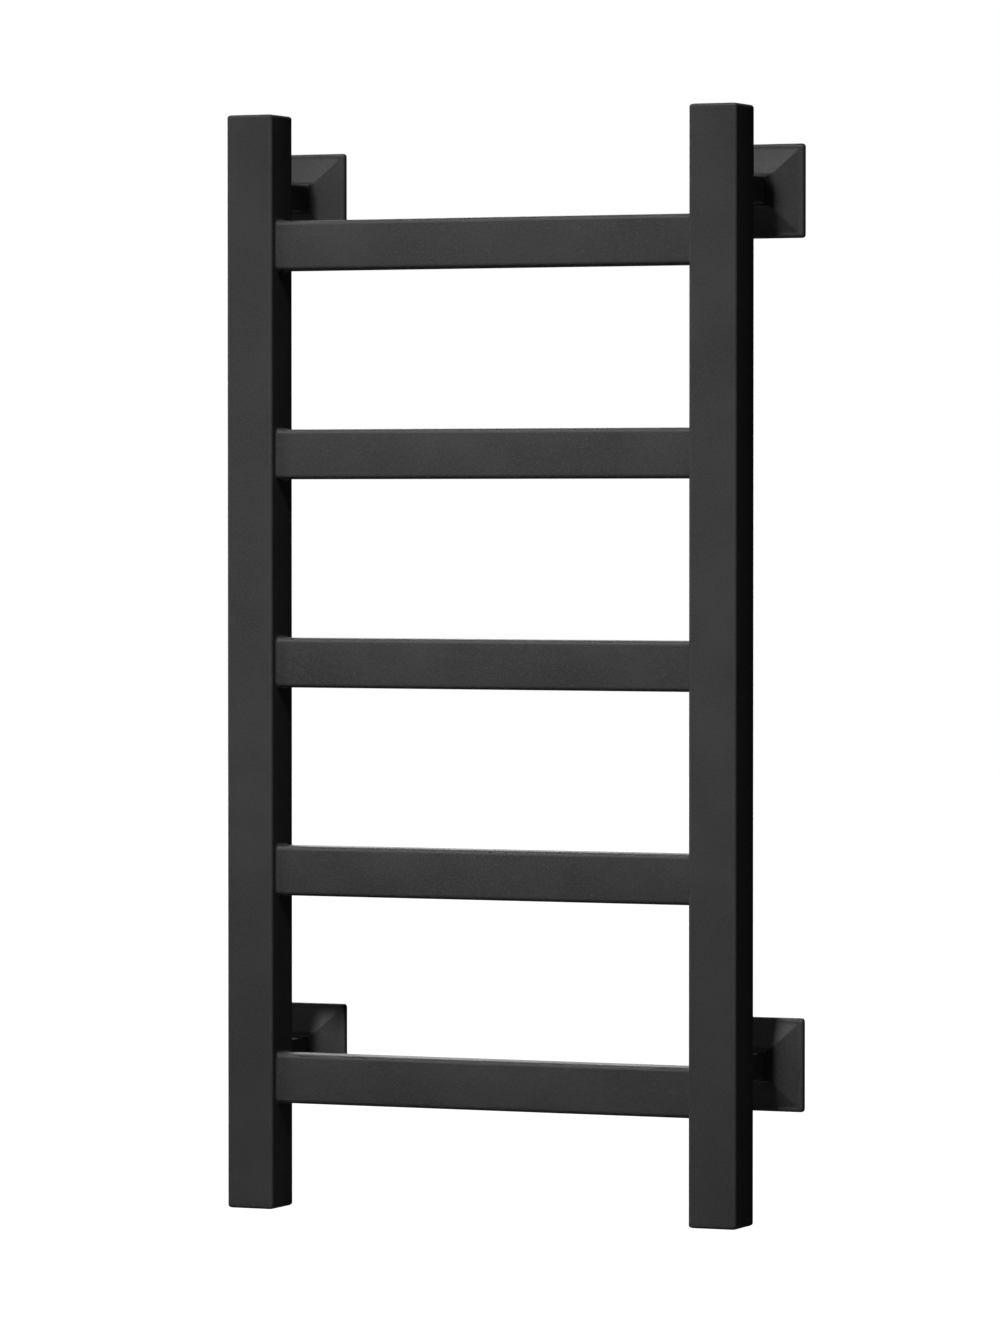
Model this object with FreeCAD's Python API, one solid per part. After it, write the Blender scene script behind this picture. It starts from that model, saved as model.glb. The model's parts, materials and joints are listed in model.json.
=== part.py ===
"""Wall-hung ladder towel warmer rack: two square uprights, five welded rungs and four wall brackets.

Millimetres. +Z is up, +X runs to the right as seen from the room, and the wall is the plane y = 0, with the
room at -Y. The origin is the centre of the wall-fixing pattern, on the wall.
"""
import FreeCAD, Part
import math
import os

V = FreeCAD.Vector

# ---- overall sizes ----
RACK_WIDTH = 330.0              # outer faces of the two uprights
RACK_HEIGHT = 660.0             # over the end caps
WALL_DISTANCE = 50.0            # from the wall to the uprights' backs
UPRIGHT_SIZE = 30.0             # square tube, outside
TUBE_WALL = 1.5                 # all tubes
LEAST_INNER_CORNER = 0.2        # smallest corner radius inside a tube
UPRIGHT_CORNER = 2.0            # outer corner radius

# ---- rungs ----
RUNG_COUNT = 5
RUNG_PITCH = 125.5
RUNG_HEIGHT = 30.0
RUNG_DEPTH = 18.0
RUNG_CORNER = 3.0               # outer corner radius
WELD_LEG = 1.5                  # leg of every fillet weld
WELD_TOE = 0.1                  # thickness of a weld at its tip

# ---- end caps ----
CAP_THICKNESS = 3.0
CAP_EDGE_ROUND = 1.8            # smaller than UPRIGHT_CORNER
CAP_COLLAR_LENGTH = 10.0
CAP_COLLAR_WALL = 2.0
COLLAR_CLEARANCE = 0.2
CAP_SCREW_DIAMETER = 3.0
CAP_SCREW_HEAD = 5.6
CAP_SCREW_LENGTH = 3.9

# ---- brackets ----
UPPER_BRACKET_DROP = 48.5       # from the rack's top down to the upper brackets' axis
BRACKET_SPACING = 520.0         # between the upper and the lower brackets' axes
POST_SIZE = 16.0                # square tube, outside
POST_CORNER = 1.5
FOOT_SIZE = 44.0
FOOT_THICKNESS = 2.5
FOOT_CORNER = 2.0
FOOT_SCREW_SPACING = 28.0       # the two wall screws of one foot, one above the other
FOOT_SCREW_HOLE = 5.0
FOOT_SCREW_HEAD = 8.6
SPIGOT_LENGTH = 22.5            # from the foot plate's front
SPIGOT_CLEARANCE = 0.2
SPIGOT_BORE = 7.0
SPIGOT_CORNER = 0.3
POST_END_GAP = 0.5              # between the foot plate and the end of the post
LOCK_SCREW_DIAMETER = 3.0
LOCK_SCREW_LENGTH = 4.0
LOCK_SCREW_RECESS = 0.3
LOCK_SCREW_FROM_WALL = 5.7      # behind the grip ring, hidden by the cover
HEX_SOCKET = 1.5                # across flats, the same key for every screw
HEX_SOCKET_DEPTH = 1.6

# ---- sliding covers ----
COVER_SIZE = 56.0
COVER_CORNER = 2.0
COVER_RIM = 4.0                 # rim thickness, straight edge and rounded edge together
COVER_EDGE_ROUND = 2.0
FLARE_SLOPE = 24.0              # degrees from the wall, along a facet's flat middle
FLARE_RIM_BEND = 5.0            # hollow bend from the rim into the facet
FLARE_ROOT_BEND = 5.0           # hollow bend from the facet up to the mouth
COVER_MOUTH_WALL = 0.8
COVER_CLEARANCE = 0.2           # all round the post
COVER_POCKET_CLEARANCE = 0.5    # round the foot plate, and in front of it
COVER_CORE_POCKET = 27.0        # the deeper square hollow inside
COVER_CORE_DEPTH = 6.0
GRIP_RING_WIDTH = 1.6
GRIP_RING_SECTION = 1.5
GRIP_RING_CLEARANCE = 0.1
GRIP_RING_FROM_WALL = 8.0

# ---- heating element and wiring ----
HEATING_CABLE = 4.0
SEAT_GAP = 0.3                  # between a piece that lies loose and what carries it
BEND_START = 2.7                # from the upright's inner wall to the start of a cable bend
WIRE_SLOT_WIDTH = 10.0
WIRE_SLOT_EASE = 0.01           # keeps the slot's round ends from meeting
FIRST_RISE_INSET = 3.2          # the cable's first rise stands this much further in
END_SEAL_WIDTH = 8.0
END_SEAL_HEIGHT = 5.0
END_SEAL_LENGTH = 22.0
END_SEAL_OVERLAP = 12.0
END_SEAL_INSET = 7.0            # from the rung's end
END_SEAL_CORNER = 1.5
SUPPLY_HOLE = 10.0              # in the upright's back, behind the lower right post
UPRIGHT_GROMMET_BORE = 6.6
UPRIGHT_GROMMET_FLANGE = 12.5
UPRIGHT_GROMMET_LIP = 1.0
INLET_GROMMET_BORE = 6.6
INLET_GROMMET_SLEEVE = 10.0
INLET_GROMMET_FLANGE = 13.0
INLET_GROMMET_LIP = 1.0
BLOCK_SIDE_GAP = 1.5
BLOCK_DEPTH = 12.0
BLOCK_HEIGHT = 20.0
BLOCK_POLES = 3
BLOCK_RIB_CUT = 1.2
BLOCK_ABOVE_COLLAR = 3.5
CARRIER_SIDE_GAP = 1.3          # inside the cap's collar
CARRIER_THICKNESS = 1.5
CARRIER_ABOVE_BLOCK = 18.0
CARRIER_BACK_GAP = 0.8          # in front of the collar's back wall
TERMINAL_SCREW = 3.6
TERMINAL_SCREW_LENGTH = 4.0
TERMINAL_SCREW_INSET = 5.0
TERMINAL_SCREW_SUNK = 0.5       # below the block's front
TERMINAL_SLOT_WIDTH = 0.7
TERMINAL_SLOT_DEPTH = 0.8
CUTOUT_WIDTH = 10.0
CUTOUT_DEPTH = 5.0
CUTOUT_HEIGHT = 12.0
CUTOUT_LEAD = 1.4
CUTOUT_LEAD_LENGTH = 4.0
CUTOUT_INSET = 1.0              # from the terminal block's left side
CUTOUT_CORNER = 1.0
EARTH_SCREW = 4.0
EARTH_SCREW_HEAD = 7.0
EARTH_SCREW_HEAD_HEIGHT = 2.6
EARTH_SLOT_WIDTH = 1.0
EARTH_SLOT_DEPTH = 1.2
EARTH_TAG_RADIUS = 3.8
EARTH_TAG_SIDE_GAP = 0.5        # inside the cap's collar
EARTH_TAG_THICKNESS = 0.8
EARTH_WIRE = 2.0
EARTH_BARREL = 3.2
EARTH_BARREL_LENGTH = 3.0
EARTH_BARREL_GAP = 0.2          # beside the earth screw's head
EARTH_BEND = 5.0                # bend radius of the earth lead
EARTH_LEAD_STUB = 0.5           # straight stretch before the barrel

# ---- places worked out from the sizes ----
Z_TOP = BRACKET_SPACING / 2 + UPPER_BRACKET_DROP
Z_BOTTOM = Z_TOP - RACK_HEIGHT
UPRIGHT_X = (RACK_WIDTH - UPRIGHT_SIZE) / 2
INNER_FACE_X = UPRIGHT_X - UPRIGHT_SIZE / 2
UPRIGHT_BACK_Y = -WALL_DISTANCE
TUBE_Y = -(WALL_DISTANCE + UPRIGHT_SIZE / 2)
UPRIGHT_BORE = UPRIGHT_SIZE - 2 * TUBE_WALL
INNER_CORNER = UPRIGHT_CORNER - TUBE_WALL
RUNG_BORE_HEIGHT = RUNG_HEIGHT - 2 * TUBE_WALL
TUBE_BOTTOM_Z = Z_BOTTOM + CAP_THICKNESS
TUBE_TOP_Z = Z_TOP - CAP_THICKNESS
TOP_RUNG_Z = (Z_TOP + Z_BOTTOM) / 2 + RUNG_PITCH * (RUNG_COUNT - 1) / 2
RUNG_Z = [TOP_RUNG_Z - RUNG_PITCH * number for number in range(RUNG_COUNT)]
BRACKET_Z = {"upper": BRACKET_SPACING / 2, "lower": -BRACKET_SPACING / 2}
SIDE_X = {"left": -UPRIGHT_X, "right": UPRIGHT_X}
POST_BORE = POST_SIZE - 2 * TUBE_WALL
SPIGOT_SIZE = POST_BORE - 2 * SPIGOT_CLEARANCE
COLLAR_SIZE = UPRIGHT_BORE - 2 * COLLAR_CLEARANCE
COLLAR_TOP_Z = TUBE_BOTTOM_Z + CAP_COLLAR_LENGTH
CAP_SCREW_Z = TUBE_BOTTOM_Z + CAP_COLLAR_LENGTH / 2
COVER_MOUTH = POST_SIZE + 2 * (COVER_CLEARANCE + COVER_MOUTH_WALL)
SLOPE = math.radians(FLARE_SLOPE)
# where the facet's flat middle begins and ends, as (half width, depth from the wall)
FLAT_OUTER = (COVER_SIZE / 2 - COVER_EDGE_ROUND - FLARE_RIM_BEND * math.sin(SLOPE),
              COVER_RIM + FLARE_RIM_BEND * (1 - math.cos(SLOPE)))
FLAT_INNER_HALF = COVER_MOUTH / 2 + FLARE_ROOT_BEND * (1 - math.sin(SLOPE))
FLAT_INNER = (FLAT_INNER_HALF, FLAT_OUTER[1] + (FLAT_OUTER[0] - FLAT_INNER_HALF) * math.tan(SLOPE))
COVER_DEPTH = FLAT_INNER[1] + FLARE_ROOT_BEND * math.cos(SLOPE)
BLOCK_WIDTH = UPRIGHT_BORE - 2 * BLOCK_SIDE_GAP
BLOCK_BOTTOM_Z = COLLAR_TOP_Z + BLOCK_ABOVE_COLLAR
BLOCK_TOP_Z = BLOCK_BOTTOM_Z + BLOCK_HEIGHT
COLLAR_HOLLOW = COLLAR_SIZE - 2 * CAP_COLLAR_WALL
CARRIER_WIDTH = COLLAR_HOLLOW - 2 * CARRIER_SIDE_GAP
CARRIER_BACK_Y = TUBE_Y + COLLAR_HOLLOW / 2 - CARRIER_BACK_GAP
CARRIER_FRONT_Y = CARRIER_BACK_Y - CARRIER_THICKNESS
POLE_PITCH = BLOCK_WIDTH / BLOCK_POLES
CABLE_BEND = UPRIGHT_BORE - HEATING_CABLE - SEAT_GAP - BEND_START


# ---- helpers ----

def box(x_range, y_range, z_range):
    """A block between two x, two y and two z values."""
    size = [high - low for low, high in (x_range, y_range, z_range)]
    return Part.makeBox(size[0], size[1], size[2], V(x_range[0], y_range[0], z_range[0]))


def centred(middle, size):
    """The two ends of a length about its middle."""
    return (middle - size / 2, middle + size / 2)


def on_axis(axis, along, across, up):
    """A point at `along` on the named axis; across and up fill the other two axes in X, Y, Z order."""
    return {"x": V(along, across, up), "y": V(across, along, up), "z": V(across, up, along)}[axis]


def rounded_outline(axis, along, middle, width, height, radius):
    """A closed rectangle with round corners, square to the axis, about the middle (across, up)."""
    across, up = middle
    half_w, half_h = width / 2, height / 2
    edges = []
    corners = [(half_w, half_h, 0), (-half_w, half_h, 90), (-half_w, -half_h, 180), (half_w, -half_h, 270)]
    arcs = []
    for corner_x, corner_y, start in corners:
        mid_x = across + corner_x - math.copysign(radius, corner_x)
        mid_y = up + corner_y - math.copysign(radius, corner_y)
        turn = [math.radians(start + step) for step in (0, 45, 90)]
        arcs.append([on_axis(axis, along, mid_x + radius * math.cos(a), mid_y + radius * math.sin(a))
                     for a in turn])
    for number, arc in enumerate(arcs):
        edges.append(Part.Arc(*arc).toShape())
        edges.append(Part.LineSegment(arc[2], arcs[(number + 1) % 4][0]).toShape())
    return Part.Wire(edges)


def rounded_bar(axis, start, end, middle, width, height, radius):
    """A solid bar with a round-cornered section, from start to end along the axis."""
    face = Part.Face(rounded_outline(axis, start, middle, width, height, radius))
    return face.extrude(on_axis(axis, end - start, 0, 0))


def tube(axis, start, end, middle, width, height, radius):
    """A rectangular tube with TUBE_WALL walls."""
    outside = rounded_bar(axis, start, end, middle, width, height, radius)
    inside = rounded_bar(axis, start, end, middle, width - 2 * TUBE_WALL, height - 2 * TUBE_WALL,
                         max(radius - TUBE_WALL, LEAST_INNER_CORNER))
    return outside.cut(inside)


def rod(start, end, diameter):
    """A round bar between two points."""
    way = end.sub(start)
    return Part.makeCylinder(diameter / 2, way.Length, start, way)


def cone(start, end, diameter_start, diameter_end):
    """A round bar whose diameter changes evenly from one end to the other."""
    way = end.sub(start)
    return Part.makeCone(diameter_start / 2, diameter_end / 2, way.Length, start, way)


def fuse_all(shapes):
    """One solid from pieces that overlap or share faces."""
    return shapes[0].multiFuse(shapes[1:]).removeSplitter()


def weld_ring(axis, seat, tip, middle, width, height, radius):
    """A fillet weld round a bar: its legs lie on the seat plane and along the bar, up to the tip."""
    low = rounded_outline(axis, seat, middle, width + 2 * WELD_LEG, height + 2 * WELD_LEG, radius + WELD_LEG)
    high = rounded_outline(axis, tip, middle, width + 2 * WELD_TOE, height + 2 * WELD_TOE,
                           radius + WELD_TOE)
    past = seat + 2 * (tip - seat)
    before = seat - (tip - seat)
    bar = rounded_bar(axis, before, past, middle, width, height, radius)
    return Part.makeLoft([low, high], True).cut(bar)


def hex_socket(start, way):
    """The cutter for a hexagon socket that begins at start and runs along the way."""
    radius = HEX_SOCKET / math.sqrt(3)
    side = way.cross(V(1, 0, 0))
    other = way.cross(side)
    points = []
    for number in range(7):
        turn = math.radians(60 * number)
        offset = side * (radius * math.cos(turn)) + other * (radius * math.sin(turn))
        points.append(start.add(offset))
    return Part.Face(Part.makePolygon(points)).extrude(way * HEX_SOCKET_DEPTH)


def save(shape, name):
    """Write one node, and stop if any of its solids isn't sound."""
    for solid in shape.Solids:
        if not solid.isValid() or solid.Volume <= 0:
            raise ValueError("bad solid in " + name)
    if not shape.Solids:
        raise ValueError("no solid in " + name)
    shape.exportStep("parts/" + name + ".step")


# ---- rack frame ----

def wire_slot(side, rung_z):
    """The cutter for the opening in an upright's inner wall, through which the cable enters a rung."""
    inner = math.copysign(INNER_FACE_X, SIDE_X[side])
    ends = sorted([inner - math.copysign(TUBE_WALL, inner), inner + math.copysign(2 * TUBE_WALL, inner)])
    return rounded_bar("x", ends[0], ends[1], (TUBE_Y, rung_z), WIRE_SLOT_WIDTH, RUNG_BORE_HEIGHT,
                       WIRE_SLOT_WIDTH / 2 - WIRE_SLOT_EASE)


def cap_screw_hole(side):
    """The countersunk hole for a bottom cap's screw, in the upright's back wall."""
    mouth = V(SIDE_X[side], UPRIGHT_BACK_Y, CAP_SCREW_Z)
    inside = V(SIDE_X[side], UPRIGHT_BACK_Y - TUBE_WALL, CAP_SCREW_Z)
    hole = rod(mouth, V(SIDE_X[side], UPRIGHT_BACK_Y - 2 * TUBE_WALL, CAP_SCREW_Z), CAP_SCREW_DIAMETER)
    return hole.fuse(cone(mouth, inside, CAP_SCREW_HEAD, CAP_SCREW_DIAMETER))


def upright(side):
    """A square tube with its wire slots and screw hole; the right one has the supply hole too."""
    shape = tube("z", TUBE_BOTTOM_Z, TUBE_TOP_Z, (SIDE_X[side], TUBE_Y), UPRIGHT_SIZE, UPRIGHT_SIZE,
                 UPRIGHT_CORNER)
    for rung_z in RUNG_Z:
        shape = shape.cut(wire_slot(side, rung_z))
    shape = shape.cut(cap_screw_hole(side))
    if side == "right":
        centre = V(SIDE_X[side], UPRIGHT_BACK_Y, BRACKET_Z["lower"])
        shape = shape.cut(rod(centre, centre.add(V(0, -2 * TUBE_WALL, 0)), SUPPLY_HOLE))
    return shape


def rung(rung_z):
    """A level tube that butts against both uprights."""
    return tube("x", -INNER_FACE_X, INNER_FACE_X, (TUBE_Y, rung_z), RUNG_DEPTH, RUNG_HEIGHT, RUNG_CORNER)


def rung_welds(side):
    """The five fillet welds that join the rungs to one upright."""
    seat = math.copysign(INNER_FACE_X, SIDE_X[side])
    tip = seat - math.copysign(WELD_LEG, seat)
    rings = [weld_ring("x", seat, tip, (TUBE_Y, rung_z), RUNG_DEPTH, RUNG_HEIGHT, RUNG_CORNER)
             for rung_z in RUNG_Z]
    return Part.makeCompound(rings)


def end_cap(side, end):
    """A rounded plate that closes an upright, with a collar that fits inside the tube."""
    x = SIDE_X[side]
    if end == "top":
        outer, seat, collar_end = Z_TOP, TUBE_TOP_Z, TUBE_TOP_Z - CAP_COLLAR_LENGTH
    else:
        outer, seat, collar_end = Z_BOTTOM, TUBE_BOTTOM_Z, COLLAR_TOP_Z
    plate = rounded_bar("z", min(outer, seat), max(outer, seat), (x, TUBE_Y), UPRIGHT_SIZE, UPRIGHT_SIZE,
                        UPRIGHT_CORNER)
    rim_edges = [edge for edge in plate.Edges
                 if all(abs(vertex.Z - outer) < 0.001 for vertex in edge.Vertexes)]
    plate = plate.makeFillet(CAP_EDGE_ROUND, rim_edges)
    low, high = min(seat, collar_end), max(seat, collar_end)
    collar = rounded_bar("z", low, high, (x, TUBE_Y), COLLAR_SIZE, COLLAR_SIZE, INNER_CORNER)
    collar = collar.cut(box(centred(x, COLLAR_HOLLOW), centred(TUBE_Y, COLLAR_HOLLOW), (low, high)))
    if end == "bottom":
        thread = V(x, UPRIGHT_BACK_Y, CAP_SCREW_Z)
        collar = collar.cut(rod(thread, thread.add(V(0, -CAP_SCREW_LENGTH, 0)), CAP_SCREW_DIAMETER))
    return fuse_all([plate, collar])


def cap_screw(side):
    """The countersunk screw that holds a bottom cap, driven in from behind."""
    x = SIDE_X[side]
    head = cone(V(x, UPRIGHT_BACK_Y, CAP_SCREW_Z), V(x, UPRIGHT_BACK_Y - TUBE_WALL, CAP_SCREW_Z),
                CAP_SCREW_HEAD, CAP_SCREW_DIAMETER)
    shank = rod(V(x, UPRIGHT_BACK_Y, CAP_SCREW_Z), V(x, UPRIGHT_BACK_Y - CAP_SCREW_LENGTH, CAP_SCREW_Z),
                CAP_SCREW_DIAMETER)
    slot = hex_socket(V(x, UPRIGHT_BACK_Y, CAP_SCREW_Z), V(0, -1, 0))
    return head.fuse(shank).cut(slot).removeSplitter()


# ---- brackets ----

def post(side, level):
    """The square tube welded to the upright's back, with a hole for the lock screw underneath."""
    x, z = SIDE_X[side], BRACKET_Z[level]
    shape = tube("y", UPRIGHT_BACK_Y, -(FOOT_THICKNESS + POST_END_GAP), (x, z), POST_SIZE, POST_SIZE,
                 POST_CORNER)
    below = V(x, -LOCK_SCREW_FROM_WALL, z - POST_SIZE)
    return shape.cut(rod(below, V(x, -LOCK_SCREW_FROM_WALL, z), LOCK_SCREW_DIAMETER))


def post_weld(side, level):
    """The fillet weld between a post and its upright."""
    tip = UPRIGHT_BACK_Y + WELD_LEG
    return weld_ring("y", UPRIGHT_BACK_Y, tip, (SIDE_X[side], BRACKET_Z[level]), POST_SIZE, POST_SIZE,
                     POST_CORNER)


def lock_screw_ends(side, level):
    """The two ends of a lock screw: its driven end below and its tip in the spigot."""
    x, z = SIDE_X[side], BRACKET_Z[level]
    low = z - POST_SIZE / 2 + LOCK_SCREW_RECESS
    return V(x, -LOCK_SCREW_FROM_WALL, low), V(x, -LOCK_SCREW_FROM_WALL, low + LOCK_SCREW_LENGTH)


def lock_screw(side, level):
    """A socket screw that stands in the post's lower wall and the spigot, just under flush."""
    low, high = lock_screw_ends(side, level)
    return rod(low, high, LOCK_SCREW_DIAMETER).cut(hex_socket(low, V(0, 0, 1)))


def foot(side, level):
    """The wall plate with two countersunk screw holes and the bored square spigot."""
    x, z = SIDE_X[side], BRACKET_Z[level]
    plate = rounded_bar("y", -FOOT_THICKNESS, 0, (x, z), FOOT_SIZE, FOOT_SIZE, FOOT_CORNER)
    spigot = rounded_bar("y", -FOOT_THICKNESS - SPIGOT_LENGTH, -FOOT_THICKNESS, (x, z), SPIGOT_SIZE,
                         SPIGOT_SIZE, SPIGOT_CORNER)
    shape = fuse_all([plate, spigot])
    cuts = [rod(V(x, 0, z), V(x, -FOOT_THICKNESS - SPIGOT_LENGTH, z), SPIGOT_BORE),
            rod(V(x, 0, z), V(x, -INLET_GROMMET_LIP, z), INLET_GROMMET_FLANGE),
            rod(V(x, 0, z), V(x, -FOOT_THICKNESS, z), INLET_GROMMET_SLEEVE)]
    for screw_z in centred(z, FOOT_SCREW_SPACING):
        front = V(x, -FOOT_THICKNESS, screw_z)
        sink = (FOOT_SCREW_HEAD - FOOT_SCREW_HOLE) / 2
        cuts.append(rod(V(x, 0, screw_z), front, FOOT_SCREW_HOLE))
        cuts.append(cone(front, front.add(V(0, sink, 0)), FOOT_SCREW_HEAD, FOOT_SCREW_HOLE))
    low, high = lock_screw_ends(side, level)
    cuts.append(rod(low, high, LOCK_SCREW_DIAMETER))
    for cutter in cuts:
        shape = shape.cut(cutter)
    return shape


def inlet_grommet(side, level):
    """The flanged rubber bush in the foot plate that the supply cable comes in through."""
    x, z = SIDE_X[side], BRACKET_Z[level]
    flange = rod(V(x, 0, z), V(x, -INLET_GROMMET_LIP, z), INLET_GROMMET_FLANGE)
    sleeve = rod(V(x, 0, z), V(x, -FOOT_THICKNESS, z), INLET_GROMMET_SLEEVE)
    bore = rod(V(x, 0, z), V(x, -FOOT_THICKNESS, z), INLET_GROMMET_BORE)
    return flange.fuse(sleeve).cut(bore).removeSplitter()


def flare_section(axis, across, up):
    """The cover's side profile on both sides of the post's axis, extruded right through the cover."""
    half, inner = COVER_SIZE / 2, COVER_SIZE / 2 - COVER_EDGE_ROUND
    straight = COVER_RIM - COVER_EDGE_ROUND
    mouth = COVER_MOUTH / 2
    eighth, mid_rim, mid_root = math.radians(45), SLOPE / 2, (SLOPE + math.radians(90)) / 2
    edge_mid = (inner + COVER_EDGE_ROUND * math.cos(eighth), straight + COVER_EDGE_ROUND * math.sin(eighth))
    rim_mid = (inner - FLARE_RIM_BEND * math.sin(mid_rim), COVER_RIM + FLARE_RIM_BEND * (1 - math.cos(mid_rim)))
    root_mid = (mouth + FLARE_ROOT_BEND * (1 - math.sin(mid_root)),
                COVER_DEPTH - FLARE_ROOT_BEND * math.cos(mid_root))

    def point(radial, depth, sign):
        place = (across if axis == "z" else up) + sign * radial
        if axis == "z":
            return V(place, -depth, up - half)
        return V(across - half, -depth, place)

    edges = []
    for sign in (1, -1):
        edges.append(Part.LineSegment(point(half, 0, sign), point(half, straight, sign)).toShape())
        edges.append(Part.Arc(point(half, straight, sign), point(*edge_mid, sign),
                              point(inner, COVER_RIM, sign)).toShape())
        edges.append(Part.Arc(point(inner, COVER_RIM, sign), point(*rim_mid, sign),
                              point(*FLAT_OUTER, sign)).toShape())
        edges.append(Part.LineSegment(point(*FLAT_OUTER, sign), point(*FLAT_INNER, sign)).toShape())
        edges.append(Part.Arc(point(*FLAT_INNER, sign), point(*root_mid, sign),
                              point(mouth, COVER_DEPTH, sign)).toShape())
    edges.append(Part.LineSegment(point(mouth, COVER_DEPTH, 1), point(mouth, COVER_DEPTH, -1)).toShape())
    edges.append(Part.LineSegment(point(half, 0, 1), point(half, 0, -1)).toShape())
    face = Part.Face(Part.Wire(Part.__sortEdges__(edges)))
    return face.extrude(V(0, 0, COVER_SIZE) if axis == "z" else V(COVER_SIZE, 0, 0))


def cover(side, level):
    """The square flared cover, hollow behind, with a square hole that slides along the post."""
    x, z = SIDE_X[side], BRACKET_Z[level]
    shape = flare_section("z", x, z).common(flare_section("x", x, z))
    shape = shape.common(rounded_bar("y", -COVER_DEPTH, 0, (x, z), COVER_SIZE, COVER_SIZE, COVER_CORNER))
    pocket = FOOT_SIZE + 2 * COVER_POCKET_CLEARANCE
    pocket_depth = FOOT_THICKNESS + COVER_POCKET_CLEARANCE
    hole = POST_SIZE + 2 * COVER_CLEARANCE
    groove = hole + 2 * GRIP_RING_SECTION
    cuts = [rounded_bar("y", -pocket_depth, 0, (x, z), pocket, pocket, FOOT_CORNER),
            rounded_bar("y", -COVER_CORE_DEPTH, 0, (x, z), COVER_CORE_POCKET, COVER_CORE_POCKET, FOOT_CORNER),
            rounded_bar("y", -COVER_DEPTH, 0, (x, z), hole, hole, POST_CORNER),
            box(centred(x, groove), (-GRIP_RING_FROM_WALL - GRIP_RING_WIDTH, -GRIP_RING_FROM_WALL),
                centred(z, groove))]
    for cutter in cuts:
        shape = shape.cut(cutter)
    return shape


def grip_ring(side, level):
    """The rubber ring in the cover's groove that rubs on the post."""
    x, z = SIDE_X[side], BRACKET_Z[level]
    ends = (-GRIP_RING_FROM_WALL - GRIP_RING_WIDTH, -GRIP_RING_FROM_WALL)
    outside = POST_SIZE + 2 * (COVER_CLEARANCE + GRIP_RING_SECTION)
    inside = POST_SIZE + 2 * GRIP_RING_CLEARANCE
    ring = box(centred(x, outside), ends, centred(z, outside))
    return ring.cut(rounded_bar("y", ends[0], ends[1], (x, z), inside, inside, POST_CORNER))


# ---- heating element and wiring ----

def rounded_route(corners, radius):
    """A wire through the corners, with the same tangent arc at each one."""
    edges = []
    at = corners[0]
    for before, corner, after in zip(corners, corners[1:], corners[2:]):
        come = corner.sub(before).normalize()
        leave = after.sub(corner).normalize()
        turn = come.getAngle(leave)
        setback = radius * math.tan(turn / 2)
        first = corner.sub(come * setback)
        last = corner.add(leave * setback)
        bulge = leave.sub(come).normalize()
        middle = corner.add(bulge * (radius / math.cos(turn / 2) - radius))
        edges.append(Part.LineSegment(at, first).toShape())
        edges.append(Part.Arc(first, middle, last).toShape())
        at = last
    edges.append(Part.LineSegment(at, corners[-1]).toShape())
    return Part.Wire(edges)


def swept_cable(name, corners, radius, diameter):
    """A round cable along its route, whose volume is checked against section times length."""
    route = rounded_route(corners, radius)
    way = corners[1].sub(corners[0]).normalize()
    section = Part.Wire([Part.makeCircle(diameter / 2, corners[0], way)])
    solid = route.makePipeShell([section], True, False)
    expected = math.pi * diameter ** 2 / 4 * route.Length
    print("%s: length %.1f mm, bend radius %.1f mm, volume ratio %.4f"
          % (name, route.Length, radius, solid.Volume / expected))
    return solid


def cable_height(rung_z):
    """The height of the heating cable's axis where it lies on a rung's inner floor."""
    return rung_z - RUNG_BORE_HEIGHT / 2 + SEAT_GAP + HEATING_CABLE / 2


def heating_cable_route():
    """From the terminal block up into the bottom rung, then to and fro through every rung to the top."""
    wall_x = UPRIGHT_X + UPRIGHT_BORE / 2 - SEAT_GAP - HEATING_CABLE / 2
    side = 1
    corners = [V(wall_x - FIRST_RISE_INSET, TUBE_Y, BLOCK_TOP_Z)]
    for number, rung_z in enumerate(reversed(RUNG_Z)):
        height = cable_height(rung_z)
        start_x = corners[0].x if number == 0 else side * wall_x
        corners.append(V(start_x, TUBE_Y, height))
        side = -side
        if number < RUNG_COUNT - 1:
            corners.append(V(side * wall_x, TUBE_Y, height))
    end_x = side * (INNER_FACE_X - END_SEAL_INSET - END_SEAL_LENGTH + END_SEAL_OVERLAP)
    corners.append(V(end_x, TUBE_Y, cable_height(RUNG_Z[0])))
    return corners


def cable_end_seal():
    """The flat rubber seal on the cable's far end, lying on the top rung's inner floor."""
    end = heating_cable_route()[-1]
    outward = math.copysign(1, end.x)
    open_x = end.x - outward * END_SEAL_OVERLAP
    closed_x = open_x + outward * END_SEAL_LENGTH
    floor_z = RUNG_Z[0] - RUNG_BORE_HEIGHT / 2 + SEAT_GAP / 2
    shape = rounded_bar("x", min(open_x, closed_x), max(open_x, closed_x),
                        (TUBE_Y, floor_z + END_SEAL_HEIGHT / 2), END_SEAL_WIDTH, END_SEAL_HEIGHT,
                        END_SEAL_CORNER)
    return shape.cut(rod(V(open_x, end.y, end.z), end, HEATING_CABLE))


def upright_grommet():
    """The rubber grommet in the upright's supply hole, with its lip inside the tube."""
    x, z = SIDE_X["right"], BRACKET_Z["lower"]
    inner_wall = UPRIGHT_BACK_Y - TUBE_WALL
    neck = rod(V(x, UPRIGHT_BACK_Y, z), V(x, inner_wall, z), SUPPLY_HOLE)
    lip = rod(V(x, inner_wall, z), V(x, inner_wall - UPRIGHT_GROMMET_LIP, z), UPRIGHT_GROMMET_FLANGE)
    bore = rod(V(x, UPRIGHT_BACK_Y, z), V(x, inner_wall - UPRIGHT_GROMMET_LIP, z), UPRIGHT_GROMMET_BORE)
    return neck.fuse(lip).cut(bore).removeSplitter()


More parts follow.
